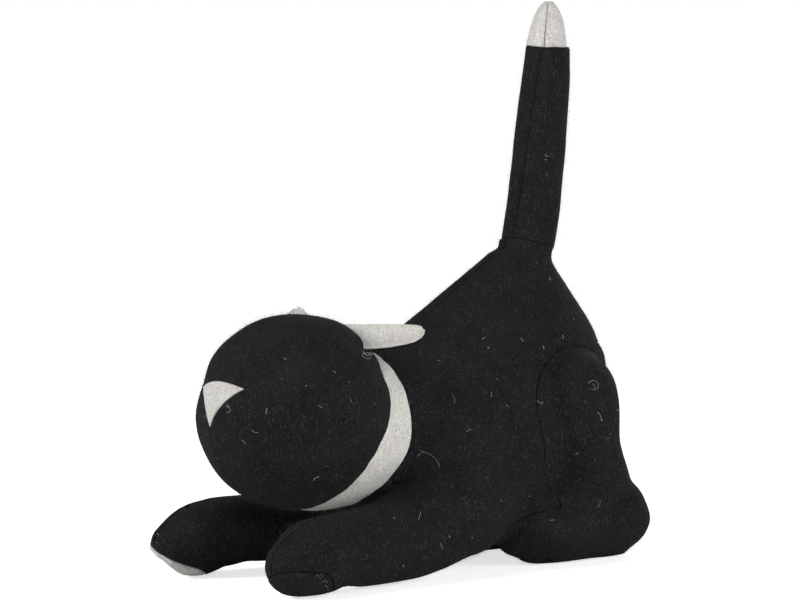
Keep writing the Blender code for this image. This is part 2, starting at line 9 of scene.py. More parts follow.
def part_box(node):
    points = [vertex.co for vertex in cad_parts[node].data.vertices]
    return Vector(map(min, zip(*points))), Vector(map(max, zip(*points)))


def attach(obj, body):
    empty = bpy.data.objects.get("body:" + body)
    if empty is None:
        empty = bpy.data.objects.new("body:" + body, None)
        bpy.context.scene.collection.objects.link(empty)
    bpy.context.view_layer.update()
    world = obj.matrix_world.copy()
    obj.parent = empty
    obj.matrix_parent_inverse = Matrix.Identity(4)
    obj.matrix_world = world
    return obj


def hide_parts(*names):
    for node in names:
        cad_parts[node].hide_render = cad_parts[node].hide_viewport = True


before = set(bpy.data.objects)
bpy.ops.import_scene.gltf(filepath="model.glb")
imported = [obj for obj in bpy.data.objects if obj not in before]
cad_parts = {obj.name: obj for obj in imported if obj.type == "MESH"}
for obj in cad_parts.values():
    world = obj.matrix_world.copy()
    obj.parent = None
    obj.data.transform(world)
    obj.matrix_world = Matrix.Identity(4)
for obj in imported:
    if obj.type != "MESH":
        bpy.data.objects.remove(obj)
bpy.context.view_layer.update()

# Sizes in metres, in the part's own frame before it was centred on its footprint
FELT = 0.0022
FINEST_EDGE = 0.0009
HEAD = Vector((0.0, -0.0885, 0.1052))
HEAD_RADIUS = 0.0605
NECK_RADIUS = 0.0510
NECK_Z = 0.0935
COLLAR_REAR_Y = -0.0365
COLLAR_SLACK = 0.0032
COLLAR_WAIST_Z = 0.1000
COLLAR_BOW_TOP = 2.8
COLLAR_BOW_BOTTOM = 7.8
COLLAR_RADIUS = 0.0550

# Slices through the body: height, front end, rear end, half width
TORSO_SLICES = (
    (0.0105, 0.010, 0.085, 0.016),
    (0.0135, -0.015, 0.112, 0.034),
    (0.020, -0.034, 0.130, 0.049),
    (0.035, -0.042, 0.138, 0.058),
    (0.059, -0.042, 0.144, 0.062),
    (0.089, -0.041, 0.152, 0.061),
    (0.109, -0.040, 0.152, 0.056),
    (0.125, -0.036, 0.153, 0.051),
    (0.140, -0.020, 0.149, 0.045),
    (0.156, 0.004, 0.140, 0.038),
    (0.171, 0.027, 0.130, 0.031),
    (0.186, 0.048, 0.120, 0.024),
    (0.197, 0.065, 0.112, 0.020),
    (0.204, 0.074, 0.114, 0.018),
)
SLICE_POWER = 2.4

# Balls along the limbs: out to the side, along, up, radius
FRONT_LEG = (
    (0.048, -0.001, 0.0430, 0.0360),
    (0.056, -0.045, 0.0280, 0.0265),
    (0.063, -0.085, 0.0250, 0.0245),
    (0.068, -0.119, 0.0217, 0.0250),
    (0.070, -0.1340, 0.0180, 0.0190),
)
SHOULDER = (0.028, 0.002, 0.0820, 0.0400)
FLANK = (0.040, 0.030, 0.0460, 0.0290)
HIND_FOOT = (
    (0.054, 0.0555, 0.0238, 0.0262),
    (0.051, 0.092, 0.0260, 0.0290),
    (0.049, 0.123, 0.0255, 0.0285),
)
THIGH = (
    (0.044, 0.104, 0.046, 0.033),
    (0.040, 0.100, 0.074, 0.031),
    (0.036, 0.100, 0.102, 0.036),
)

# Stations of the tail and its tip: along, up, radius
TAIL_STATIONS = (
    (0.0984, 0.2069, 0.0170),
    (0.1035, 0.2278, 0.0169),
    (0.1084, 0.2577, 0.0166),
    (0.1128, 0.2877, 0.0162),
    (0.1173, 0.3176, 0.0152),
    (0.1199, 0.3396, 0.0139),
)
TAIL_TIP_STATIONS = (
    (0.1199, 0.3396, 0.0137),
    (0.1210, 0.3495, 0.0123),
    (0.1219, 0.3585, 0.0099),
    (0.1224, 0.3655, 0.0066),
    (0.1227, 0.3693, 0.0032),
)
TAIL_SEAM_LOW = 20.0
TAIL_SEAM_HIGH = 42.0
THIGH_SEAM = (0.1025, 0.0965, 0.0435)
THIGH_CREASE = (0.0660, 0.0390)
TOE_REACH = 0.0405
TOE_POWER = 3.4
RUMP_HALF_WIDTH = 0.0300
FOOT_INNER_X = 0.0260
BELLY_SEAM = (0.040, 0.028, 0.118)
LEG_RIDGE_RISE = 0.060

FRONT_LEG_REAR_Y = -0.030
FRONT_LEG_INNER_X = 0.030

# Front soles, 1 for the cat's left and -1 for its right: a tilted plane, cut off at the rear, that bulges
SOLE_TIP_Y = -0.152
SOLE_TIP_Z = {1: 0.0165, -1: 0.0207}
SOLE_HEEL_Y = -0.111
SOLE_HEEL_Z = 0.0045
SOLE_TURN = math.radians(14)
SOLE_ROLL = math.radians(15)
SOLE_REAR_Y = -0.1190
SOLE_CORNER = 0.009
SOLE_DOME = {1: 0.0135, -1: 0.0120}
SOLE_DOME_Y = -0.132

# The leg lifts off the floor behind its sole: where, over what length in front, how high, and how far back
HEEL_NOTCH = (-0.109, 0.012, 0.0058)
LEG_ARCH = {1: 0.020, -1: 0.060}
LEG_ARCH_RISE = {1: 0.0, -1: 0.0024}
SOFT_FLOOR = 0.003

# Fuller top of the right front leg, and the two hollows at the rear of each hind leg: place, span, amount
FAR_LEG_TOP = (-0.103, 0.017, 0.0024)
HEEL_WAIST = ((0.034, 0.012, 0.0024), (0.108, 0.014, 0.0018))
HIND_SOLE_Z = 0.0045
BROW_POINTS = (
    (-0.0520, 0.0178),
    (-0.0428, 0.0254),
    (-0.0233, 0.0382),
    (-0.0151, 0.0398),
    (0.0009, 0.0404),
    (0.0230, 0.0385),
)
BROW_LINE_Z = 0.012
NOSE_CORNER = (0.0255, 0.0178)
NOSE_POINT_Z = -0.0065
NOSE_TOP_RISE = 0.0047
NOSE_SIDE_DIP = 0.0030
FAR = 0.6

# Swellings of the head: which way from its middle, how wide, how high
HEAD_FORM = (
    ((0.44, 0.36, 0.82), 0.017, 0.0022),
    ((-0.44, 0.36, 0.82), 0.017, 0.0024),
    ((-0.474, -0.678, 0.562), 0.018, 0.0006),
    ((0.570, 0.815, 0.080), 0.036, 0.0032),
)
STUFFING_DEPTH = 0.0055
HEEL_LIFT = 0.0050

# Hind feet: lifts of the front edge as rise, from and to x, middle y and reach, then the ankle and the calf
TOE_LIFTS = (
    (0.0035, 0.030, 0.060, 0.004, 0.018),
    (0.0045, 0.028, 0.045, 0.044, 0.012),
)
LIFT_HEIGHT = 0.024
ANKLE_Z = 0.0385
ANKLE_DEPTH = 0.0045
CALF = (0.078, 0.056)
TAIL_ROOT_REACH = 0.034

# The bag of sand: height, half length, half width of its slices
BAG_Y = 0.060
BAG_SLICES = (
    (0.0150, 0.034, 0.014),
    (0.0180, 0.050, 0.028),
    (0.0230, 0.062, 0.039),
    (0.0420, 0.069, 0.045),
    (0.0640, 0.065, 0.042),
    (0.0760, 0.050, 0.028),
)

# The part's footprint was centred on the origin: the head's filling shows by how much
low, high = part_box("head_filling")
SHIFT = (Vector(low) + Vector(high)) / 2 - HEAD
SHIFT.z = 0.0


# Small tools


def object_of(bm, name):
    mesh = bpy.data.meshes.new(name)
    bm.to_mesh(mesh)
    bm.free()
    thing = bpy.data.objects.new(name, mesh)
    bpy.context.scene.collection.objects.link(thing)
    return thing


def settle(thing):
    graph = bpy.context.evaluated_depsgraph_get()
    mesh = bpy.data.meshes.new_from_object(thing.evaluated_get(graph))
    thing.modifiers.clear()
    thing.data = mesh
    return thing


def places(bm):
    return np.array([v.co[:] for v in bm.verts])


def ramp(value, low, high):
    """Rises smoothly from 0 at low to 1 at high."""
    share = min(1.0, max(0.0, (value - low) / (high - low)))
    return share * share * (3 - 2 * share)


def oblong(height, middle_y, half_length, half_width, power, count=48):
    ring = []
    for i in range(count):
        angle = 2 * math.pi * i / count
        across = math.copysign(abs(math.cos(angle)) ** (2 / power), math.cos(angle))
        along = math.copysign(abs(math.sin(angle)) ** (2 / power), math.sin(angle))
        ring.append(Vector((half_width * across, middle_y + half_length * along, height)))
    return ring


def loft(rings, caps=True):
    bm = bmesh.new()
    loops = [[bm.verts.new(point) for point in ring] for ring in rings]
    count = len(rings[0])
    for lower, upper in zip(loops, loops[1:]):
        for i in range(count):
            j = (i + 1) % count
            bm.faces.new((lower[i], lower[j], upper[j], upper[i]))
    if caps:
        bm.faces.new(list(reversed(loops[0])))
        bm.faces.new(loops[-1])
    return bm


# Signed distances, in metres and positive inside


def inside_outline(a, b, outline):
    """Distance to a closed outline in a plane, for arrays of points."""
    corners = np.array(outline)
    nearest = np.full(len(a), np.inf)
    inside = np.zeros(len(a), bool)
    for (ax, ay), (bx, by) in zip(corners, np.roll(corners, -1, axis=0)):
        dx, dy = bx - ax, by - ay
        share = np.clip(((a - ax) * dx + (b - ay) * dy) / (dx * dx + dy * dy + 1e-18), 0, 1)
        nearest = np.minimum(nearest, np.hypot(a - ax - share * dx, b - ay - share * dy))
        if dy != 0:
            crosses = ((ay > b) != (by > b)) & (a < ax + (b - ay) / dy * dx)
            inside ^= crosses
    return np.where(inside, nearest, -nearest)


def arc(centre_a, centre_b, radius, start, end, steps):
    angles = [math.radians(start + (end - start) * i / steps) for i in range(steps + 1)]
    return [(centre_a + radius * math.cos(t), centre_b + radius * math.sin(t)) for t in angles]


def collar_inside(p):
    off = p[:, 2] - COLLAR_WAIST_Z
    bow = np.where(off > 0, COLLAR_BOW_TOP, COLLAR_BOW_BOTTOM) * off**2
    along = COLLAR_REAR_Y + COLLAR_SLACK - bow - p[:, 1]
    return np.minimum(along, COLLAR_RADIUS - np.hypot(p[:, 0], p[:, 2] - NECK_Z))


def underbody_inside(p):
    ridge = [(x, y) for x, y, _, _ in FRONT_LEG]
    paw_x, paw_y, _, paw_radius = FRONT_LEG[-1]
    ridge.append((paw_x, paw_y - 2 * paw_radius))
    outline = [(-x, y) for x, y in ridge] + [(x, y) for x, y in reversed(ridge)]
    legs = np.minimum(inside_outline(p[:, 0], p[:, 1], outline), LEG_RIDGE_RISE - p[:, 2])
    reach, top, rear = BELLY_SEAM
    belly = np.minimum.reduce([reach - abs(p[:, 0]), p[:, 1] + 0.045, rear - p[:, 1], top - p[:, 2]])
    return np.maximum(legs, belly)


def hind_leg_inside(p, side):
    seam_y, seam_z, radius = THIGH_SEAM
    tuck_y, tuck_z = THIGH_CREASE
    top = arc(seam_y, seam_z, radius, 35, 180, 40)
    toe = []
    for a, b in arc(0, 0, 1, 90, 180, 24):
        share = 2 / TOE_POWER
        toe.append((tuck_y - abs(a) ** share * TOE_REACH, abs(b) ** share * tuck_z))
    below = [(toe[-1][0], -FAR), (FAR, -FAR)]
    thigh = inside_outline(p[:, 1], p[:, 2], top + toe + below + [(FAR, top[0][1])])
    foot = inside_outline(p[:, 1], p[:, 2], toe + below + [(FAR, tuck_z)])
    thigh = np.minimum(thigh, side * p[:, 0] - RUMP_HALF_WIDTH)
    foot = np.minimum(foot, side * p[:, 0] - FOOT_INNER_X)
    return np.maximum(thigh, foot)


def rump_inside(p):
    top = THIGH_SEAM[1] + THIGH_SEAM[2]
    return np.minimum.reduce([RUMP_HALF_WIDTH - abs(p[:, 0]), p[:, 1] - BELLY_SEAM[2], top - p[:, 2]])


def sole_plane(side):
    """The middle of a front sole's plane, and the way that is up from it."""
    tip_z = SOLE_TIP_Z[side]
    slope = math.atan2(tip_z - SOLE_HEEL_Z, SOLE_HEEL_Y - SOLE_TIP_Y)
    middle = Vector((side * FRONT_LEG[-1][0], (SOLE_HEEL_Y + SOLE_TIP_Y) / 2, (tip_z + SOLE_HEEL_Z) / 2))
    tilt = Matrix.Rotation(-side * SOLE_ROLL, 3, "Y") @ Matrix.Rotation(-slope, 3, "X")
    up = Matrix.Rotation(side * SOLE_TURN, 3, "Z") @ tilt @ Vector((0, 0, 1))
    return middle, up


def front_sole_inside(p, side):
    middle, up = sole_plane(side)
    below = -(p - np.array(middle)) @ np.array(up)
    behind = SOLE_REAR_Y - p[:, 1]
    short_below = np.clip(SOLE_CORNER - below, 0, None)
    short_behind = np.clip(SOLE_CORNER - behind, 0, None)
    round_off = SOLE_CORNER - np.hypot(short_below, short_behind)
    reach = 0.05 - np.hypot(p[:, 0] - middle.x, p[:, 1] - middle.y)
    return np.minimum.reduce([below, behind, round_off, reach])


def hind_sole_inside(p, side):
    reach = np.minimum(side * p[:, 0] - FOOT_INNER_X, p[:, 1] - 0.01)
    return np.minimum(HIND_SOLE_Z - p[:, 2], reach)


def brow_inside(p):
    rear = [(HEAD_RADIUS, BROW_LINE_Z), (FAR, BROW_LINE_Z), (FAR, FAR), (-FAR, FAR)]
    outline = [(-FAR, BROW_LINE_Z), *BROW_POINTS, *rear]
    return inside_outline(p[:, 1] - HEAD.y, p[:, 2] - HEAD.z, outline)


def nose_outline():
    corner = Vector(NOSE_CORNER)
    point = Vector((0.0, NOSE_POINT_Z))
    top = []
    side = []
    for i in range(13):
        share = i / 12
        top.append((share * corner.x, corner.y + NOSE_TOP_RISE * (1 - share**2)))
        straight = corner.lerp(point, share)
        dip = NOSE_SIDE_DIP * math.sin(math.pi * share) / math.sqrt(2)
        side.append((straight.x - dip, straight.y + dip))
    half = top[:-1] + side
    return half + [(-x, z) for x, z in reversed(half[1:-1])]


def nose_inside(p):
    flat = inside_outline(p[:, 0], p[:, 2] - HEAD.z, nose_outline())
    return np.minimum(flat, HEAD.y - p[:, 1])


# Cutting a skin into panels along its seams


def cut_line(bm, inside):
    """Puts vertices and edges where a signed distance crosses zero."""
    points = places(bm)
    value = inside(points)
    near = np.flatnonzero(abs(value) < 0.0003)
    if len(near):
        step = 0.0001
        slope = np.stack(
            [(inside(points[near] + step * axis) - value[near]) / step for axis in np.eye(3)], axis=1
        )
        bm.verts.ensure_lookup_table()
        for i, gradient in zip(near, slope):
            vertex = bm.verts[int(i)]
            along = Vector(gradient) - vertex.normal * vertex.normal.dot(Vector(gradient))
            if along.length > 0.3:
                vertex.co -= along * (value[i] / along.length_squared)
            value[i] = 0.0
    bm.verts.index_update()
    crossing = []
    for edge in bm.edges:
        a, b = (value[v.index] for v in edge.verts)
        if a * b < 0:
            crossing.append((edge, edge.verts[0], a / (a - b)))
    on_line = [v for v, x in zip(bm.verts, value) if x == 0.0]
    for edge, vertex, share in crossing:
        _, fresh = bmesh.utils.edge_split(edge, vertex, share)
        on_line.append(fresh)
    if on_line:
        bmesh.ops.connect_verts(bm, verts=list(set(on_line)))


def keep_inside(bm, inside):
    """Cuts a skin where a signed distance crosses zero and drops what lies outside."""
    cut_line(bm, inside)
    middles = np.array([f.calc_center_median()[:] for f in bm.faces])
    gone = [f for f, x in zip(bm.faces, inside(middles)) if x < 0]
    bmesh.ops.delete(bm, geom=gone, context="FACES")


def seam_distances(bm, seam_points):
    tree = kdtree.KDTree(len(seam_points))
    for i, point in enumerate(seam_points):
        tree.insert(point, i)
    tree.balance()
    found = [tree.find(v.co) for v in bm.verts]
    return np.array([f[2] for f in found]), [f[0] for f in found]


def refine_near(bm, seam_points, reach):
    away, _ = seam_distances(bm, seam_points)
    bm.verts.index_update()
    near = [e for e in bm.edges if all(away[v.index] < reach for v in e.verts)]
    edges = [e for e in near if e.calc_length() > FINEST_EDGE]
    bmesh.ops.subdivide_edges(bm, edges=edges, cuts=1, use_grid_fill=True)


def labelled(bm, names_inside):
    """Gives each face the first panel that holds its middle."""
    middles = np.array([f.calc_center_median()[:] for f in bm.faces])
    label = np.full(len(middles), -1)
    for i, (_, inside) in enumerate(names_inside):
        label[(label < 0) & (inside(middles) > 0)] = i
    layer = bm.faces.layers.int.get("panel") or bm.faces.layers.int.new("panel")
    for face, i in zip(bm.faces, label):
        face[layer] = int(i)
    return layer


def seam_vertices(bm, layer):
    found = []
    for vertex in bm.verts:
        panels = {face[layer] for face in vertex.link_faces}
        if len(panels) > 1 or vertex.is_boundary:
            found.append(vertex)
    return found


def rolled(distance, radius):
    """How far cloth that turns in at a seam lies below its surface."""
    inner = np.clip(distance, 0, radius)
    return radius - np.sqrt(radius**2 - (radius - inner) ** 2)


def sew(bm, names_inside, roll=0.0011, dent=0.0009, dent_reach=0.007, pucker=0.0004, seed=0.0, share=None):
    """Cuts a skin into panels, turns the cloth in at the seams and puckers it along them."""
    for _, inside in names_inside:
        cut_line(bm, inside)
    layer = labelled(bm, names_inside)
    seams = [v.co.copy() for v in seam_vertices(bm, layer)]
    refine_near(bm, seams, 0.0035)
    layer = labelled(bm, names_inside)
    seams = [v.co.copy() for v in seam_vertices(bm, layer)]
    away, nearest = seam_distances(bm, seams)
    bm.normal_update()
    shares = np.array([share(seam) if share else 1.0 for seam in nearest])
    depth = rolled(away, roll) + dent * shares * np.exp(-((away / dent_reach) ** 2))
    for vertex, sink, gap, seam in zip(bm.verts, depth, away, nearest):
        wave = noise.noise(seam * 150 + Vector((seed, 0, 0)))
        fine = noise.noise(seam * 420 + Vector((0, seed, 0)))
        sink += pucker * (wave + 0.5 * fine) * math.exp(-((gap / 0.006) ** 2)) * min(1, gap / 0.001)
        lump = 0.0005 * noise.noise(vertex.co * 38 + Vector((seed, 3, 1)))
        lump += 0.00015 * noise.noise(vertex.co * 130 + Vector((seed, 7, 5)))
        vertex.co += vertex.normal * (lump - sink)
        if vertex.co.z < 0.0:
            vertex.co.z = 0.0
    return layer


def panels_of(bm, layer, names_inside, thickness=FELT):
    """One object for each panel, given the cloth's thickness."""
    made = {}
    for i, (name, _) in enumerate(names_inside):
        part = bm.copy()
        own = part.faces.layers.int.get("panel")
        bmesh.ops.delete(part, geom=[f for f in part.faces if f[own] != i], context="FACES")
        bmesh.ops.dissolve_degenerate(part, edges=part.edges, dist=0.0001)
        piece = object_of(part, "felt_" + name)
        thick = piece.modifiers.new("Cloth", "SOLIDIFY")
        thick.thickness = thickness
        thick.offset = -1.0
        settle(piece)
        piece.data.shade_smooth()
        made[name] = piece
    return made


# The body's cover


def body_skin(voxel, inset=0.0):
    rings = [
        oblong(height, (front + rear) / 2, (rear - front) / 2, half_width, SLICE_POWER)
        for height, front, rear, half_width in TORSO_SLICES
    ]
    bm = loft(rings)
    first, second = TAIL_STATIONS[:2]
    axis = Vector((0.0, second[0] - first[0], second[1] - first[1])).normalized()
    root = Vector((0.0, first[0], first[1]))

    def rod(start, end, radius):
        way = end - start
        turn = way.to_track_quat("Z", "Y").to_matrix().to_4x4()
        place = Matrix.Translation((start + end) / 2) @ turn
        bmesh.ops.create_cone(
            bm, cap_ends=True, segments=48, radius1=radius, radius2=radius, depth=way.length, matrix=place
        )

    rod(root - axis * 3 * first[2], root + axis * 2 * first[2], first[2])
    rod(Vector((0, COLLAR_REAR_Y + NECK_RADIUS, NECK_Z)), Vector((0, HEAD.y, NECK_Z)), NECK_RADIUS)
    for side in (1, -1):
        for limb in ((SHOULDER, *FRONT_LEG), (FRONT_LEG[0], FLANK), HIND_FOOT, THIGH):
            for one, two in zip(limb, limb[1:]):
                for i in range(6):
                    x, y, z, radius = (a + (b - a) * i / 5 for a, b in zip(one, two))
                    place = Matrix.Translation((side * x, y, z))
                    bmesh.ops.create_icosphere(bm, subdivisions=4, radius=radius, matrix=place)
    bmesh.ops.recalc_face_normals(bm, faces=bm.faces)
    form = object_of(bm, "skin")
    merge = form.modifiers.new("Merge", "REMESH")
    merge.mode = "VOXEL"
    merge.voxel_size = voxel
    soften = form.modifiers.new("Soften", "SMOOTH")
    soften.factor = 0.5
    soften.iterations = round(12 * (0.004 / voxel) ** 2)
    settle(form)
    bm = bmesh.new()
    bm.from_mesh(form.data)
    bpy.data.objects.remove(form)
    return bm, root, axis


def bag_rings(grow):
    rings = []
    for height, half_length, half_width in BAG_SLICES:
        rings.append(oblong(height, BAG_Y, half_length + grow, half_width + grow, 3, 32))
    return rings


def make_stuffing(skin, clear_of_head, below_tail):
    """Loose stuffing well inside the cover, with the pocket for the bag of sand."""
    bm = skin.copy()
    bm.normal_update()
    for vertex in bm.verts:
        vertex.co -= vertex.normal * STUFFING_DEPTH
        vertex.co.z = max(vertex.co.z, STUFFING_DEPTH)
    for limit in (clear_of_head, below_tail):
        keep_inside(bm, lambda p: limit(p) - 0.002)
        rim = [e for e in bm.edges if e.is_boundary]
        bmesh.ops.holes_fill(bm, edges=rim, sides=0)
    bmesh.ops.triangulate(bm, faces=bm.faces)
    body = object_of(bm, "body_stuffing")
    clean = body.modifiers.new("Clean", "REMESH")
    clean.mode = "VOXEL"
    clean.voxel_size = 0.003
    rings = bag_rings(0.001)
    mouth = [point - Vector((0.0, 0.0, 0.015)) for point in rings[0]]
    bag = loft([mouth, *rings])
    bmesh.ops.recalc_face_normals(bag, faces=bag.faces)
    pocket = object_of(bag, "bag_pocket")
    cut = body.modifiers.new("Pocket", "BOOLEAN")
    cut.operation = "DIFFERENCE"
    cut.solver = "EXACT"
    cut.object = pocket
    settle(body)
    bpy.data.objects.remove(pocket)
    bm = bmesh.new()
    bmesh.ops.create_icosphere(bm, subdivisions=4, radius=HEAD_RADIUS - STUFFING_DEPTH)
    bmesh.ops.translate(bm, vec=HEAD, verts=bm.verts)
    head = object_of(bm, "head_stuffing")
    rings = []
    for y, z, radius in (*TAIL_STATIONS, *TAIL_TIP_STATIONS[1:-1]):
        size = radius - STUFFING_DEPTH + 0.001
        ring = oblong(z, y, size, size, 2, 24)
        rings.append(ring)
    tail = object_of(loft(rings), "tail_stuffing")
    for thing in (body, head, tail):
        thing.data.shade_smooth()
    return {"body_filling": body, "head_filling": head, "tail_filling": tail}


def hump(value, middle, reach):
    """A bell curve that is 1 at the middle."""
    return math.exp(-(((value - middle) / reach) ** 2))


def shape_front_leg(place):
    """Flattens the sole, lifts the leg off the floor behind it and fills the right leg's top."""
    side = 1 if place.x > 0 else -1
    middle, up = sole_plane(side)
    dome = SOLE_DOME[side] * (0.40 + 0.60 * ramp(place.y, SOLE_TIP_Y, SOLE_DOME_Y))
    below = (middle - place).dot(up) + 0.001
    if below > 0:
        place += up * (below - dome * (1 - math.exp(-1.5 * below / dome)))
    notch_y, notch_reach, notch_z = HEEL_NOTCH
    floor = notch_z * hump(place.y, notch_y, notch_reach if place.y < notch_y else LEG_ARCH[side])
    floor += LEG_ARCH_RISE[side] * ramp(place.y, notch_y, notch_y + 0.015)
    floor *= 1 - ramp(place.y, 2 * FRONT_LEG_REAR_Y, FRONT_LEG_REAR_Y)
    floor *= ramp(place.y, notch_y - 0.015, notch_y - 0.001)
    rise = place.z - floor
    if rise < SOFT_FLOOR:
        place.z = floor + SOFT_FLOOR * math.exp((rise - SOFT_FLOOR) / SOFT_FLOOR)
    if side == -1:
        middle_y, span, top = FAR_LEG_TOP
        share = ramp(-place.x, 0.030, 0.045) * ramp(place.z, 0.020, 0.040)
        place.z += top * share * hump(place.y, middle_y, span)


def shape_hind_foot(place):
    """Lifts the foot's outer edge off the floor, and draws in its ankle and its rear."""
    x, y, z = abs(place.x), place.y, place.z
    for waist_z, span, depth in HEEL_WAIST:
        place.y -= depth * hump(z, waist_z, span) * ramp(y, 0.105, 0.135)
    outer = ramp(x, 0.044, 0.074) * ramp(y, 0.008, 0.030)
    lift = HEEL_LIFT * outer * (1.9 - 0.75 * ramp(y, 0.045, 0.075) + 0.40 * ramp(y, 0.08, 0.145))
    for rise, inner_x, outer_x, middle_y, reach in TOE_LIFTS:
        lift += rise * ramp(x, inner_x, outer_x) * hump(y, middle_y, reach)
    place.z += lift * hump(z, 0, LIFT_HEIGHT)
    ankle = ANKLE_DEPTH * hump(z, ANKLE_Z, 0.0065) * ramp(x, 0.050, 0.066)
    ankle *= ramp(y, 0.046, 0.062) * (1 - ramp(y, 0.100, 0.140))
    calf_y, calf_z = CALF
    calf = math.exp(-(((z - calf_z) / 0.011) ** 2) - ((y - calf_y) / 0.016) ** 2)
    ankle -= ANKLE_DEPTH * calf * ramp(x, 0.04, 0.06)
    place.x -= math.copysign(ankle, place.x)


def shape_tail_root(place, root, axis):
    """Brings the body up to the tail's own width where the tail is sewn on."""
    under = (root - place).dot(axis)
    off = place - root
    off -= axis * off.dot(axis)
    if abs(under) < 0.03 and off.length < TAIL_ROOT_REACH:
        wanted = TAIL_STATIONS[0][2] + 0.0019
        share = hump(max(under, 0), 0, 0.007) * (1 - ramp(off.length, 0.022, TAIL_ROOT_REACH))
        place += off.normalized() * (wanted - off.length) * share


def make_body():
    bm, root, axis = body_skin(0.0018)

    def clear_of_head(p):
        return np.linalg.norm(p - np.array(HEAD), axis=1) - HEAD_RADIUS - 0.0005

    def below_tail(p):
        beyond = (p - np.array(root)) @ np.array(axis)
        return np.where(np.hypot(p[:, 0], p[:, 1] - root.y) < 0.05, -beyond, 0.05)

    for vertex in bm.verts:
        if vertex.co.y < FRONT_LEG_REAR_Y and abs(vertex.co.x) > FRONT_LEG_INNER_X:
            shape_front_leg(vertex.co)
        vertex.co.z = max(vertex.co.z, 0.0)
    for vertex in bm.verts:
        shape_hind_foot(vertex.co)
        shape_tail_root(vertex.co, root, axis)
    stuffing = make_stuffing(bm, clear_of_head, below_tail)
    for limit in (clear_of_head, below_tail):
        keep_inside(bm, limit)
    order = [
        ("front_sole_left", lambda p: front_sole_inside(p, 1)),
        ("front_sole_right", lambda p: front_sole_inside(p, -1)),
        ("hind_sole_left", lambda p: hind_sole_inside(p, 1)),
        ("hind_sole_right", lambda p: hind_sole_inside(p, -1)),
        ("collar", collar_inside),
        ("hind_leg_left", lambda p: hind_leg_inside(p, 1)),
        ("hind_leg_right", lambda p: hind_leg_inside(p, -1)),
        ("rump_gusset", rump_inside),
        ("underbody", underbody_inside),
        ("body_side_left", lambda p: p[:, 0]),
        ("body_side_right", lambda p: -p[:, 0]),
    ]
    layer = sew(bm, order, pucker=0.0006, seed=1.0)
    made = panels_of(bm, layer, order)
    bm.free()
    return made, stuffing


def make_head():
    bm = bmesh.new()
    place = Matrix.Translation(HEAD) @ Matrix.Rotation(0.3, 4, "Y")
    bmesh.ops.create_icosphere(bm, subdivisions=6, radius=HEAD_RADIUS, matrix=place)
    for direction, reach, amount in HEAD_FORM:
        centre = Vector(direction).normalized() * HEAD_RADIUS
        for vertex in bm.verts:
            out = vertex.co - HEAD
            share = math.exp(-((out - centre).length_squared / reach**2))
            vertex.co = HEAD + out * (1 + amount * share / HEAD_RADIUS)
    order = [
        ("nose", nose_inside),
        ("head_top", brow_inside),
        ("cheek_left", lambda p: p[:, 0]),
        ("cheek_right", lambda p: -p[:, 0]),
    ]
    nose_point_z = HEAD.z + NOSE_POINT_Z

    def share(seam):
        return ramp(seam.z, nose_point_z, nose_point_z + 0.022)

    layer = sew(
        bm, order, roll=0.0003, dent=0.0024, dent_reach=0.0125, pucker=0.0002, seed=2.0, share=share
    )
    made = panels_of(bm, layer, order)
    bm.free()
    return made


# Ears

EAR_LENGTH = 0.0492
EAR_OUTLINE = (
    (0.00, 0.0146, 0.0146),
    (0.20, 0.0160, 0.0122),
    (0.40, 0.0168, 0.0102),
    (0.60, 0.0160, 0.0078),
    (0.75, 0.0138, 0.0060),
    (0.87, 0.0100, 0.0044),
    (0.95, 0.0062, 0.0030),
    (1.00, 0.0022, 0.0012),
)
EAR_BASES = {1: Vector((0.0190, 0.0297, 0.0437)), -1: Vector((0.0285, 0.0253, 0.0482))}
EAR_ROOT_WAYS = {1: Vector((-0.0250, 0.0, 0.0150)), -1: Vector((-0.0250, 0.0, 0.0085))}
EAR_WAYS = {1: Vector((0.0365, 0.0300, 0.0045)), -1: Vector((0.0400, 0.0250, 0.0130))}
EAR_WIDTHS = {1: 1.0, -1: 1.2}
EAR_CUP = 0.0020


def ear_layer(name, side, low, high):
    tip_way = EAR_WAYS[side].normalized()
    root_way = EAR_ROOT_WAYS[side].normalized()
    face_way = root_way.cross(tip_way).normalized()
    if face_way.y > 0:
        face_way = -face_way
    shares = np.array([row[0] for row in EAR_OUTLINE])
    fronts = np.array([row[1] for row in EAR_OUTLINE]) * EAR_WIDTHS[side]
    rears = np.array([row[2] for row in EAR_OUTLINE]) * EAR_WIDTHS[side]
    across = 26
    along = 60
    rings = []
    for i in range(-12, along + 1):
        share = i / along if i <= 0 else math.sin(math.pi / 2 * i / along)
        front = float(np.interp(share, shares, fronts))
        rear = float(np.interp(share, shares, rears))
        ring = []
        for height, order in ((low, range(across + 1)), (high, reversed(range(across + 1)))):
            for j in order:
                v = math.sin(math.pi / 2 * (2 * j / across - 1))
                offset = v * (rear if v > 0 else front)
                cup = EAR_CUP * v * v
                inner = (low + high) / 2
                swell = math.sqrt(max(0.0, 1 - abs(v) ** 4)) * math.sqrt(max(0.0, 1 - max(share, 0) ** 8))
                level = inner + (height - inner) * (0.35 + 0.65 * swell)
                wave = 0.0005 * noise.noise(Vector((share * 3 + side * 9, v * 1.5, 4.0)))
                place = EAR_BASES[side] + tip_way * share * EAR_LENGTH + root_way * offset
                place += face_way * (level + cup + wave)
                ring.append(Vector((side * place.x, place.y, place.z)) + HEAD)
        rings.append(ring)
    bm = loft(rings)
    bmesh.ops.remove_doubles(bm, verts=bm.verts, dist=0.00001)
    bmesh.ops.recalc_face_normals(bm, faces=bm.faces)
    piece = object_of(bm, "felt_" + name)
    piece.data.shade_smooth()
    return piece


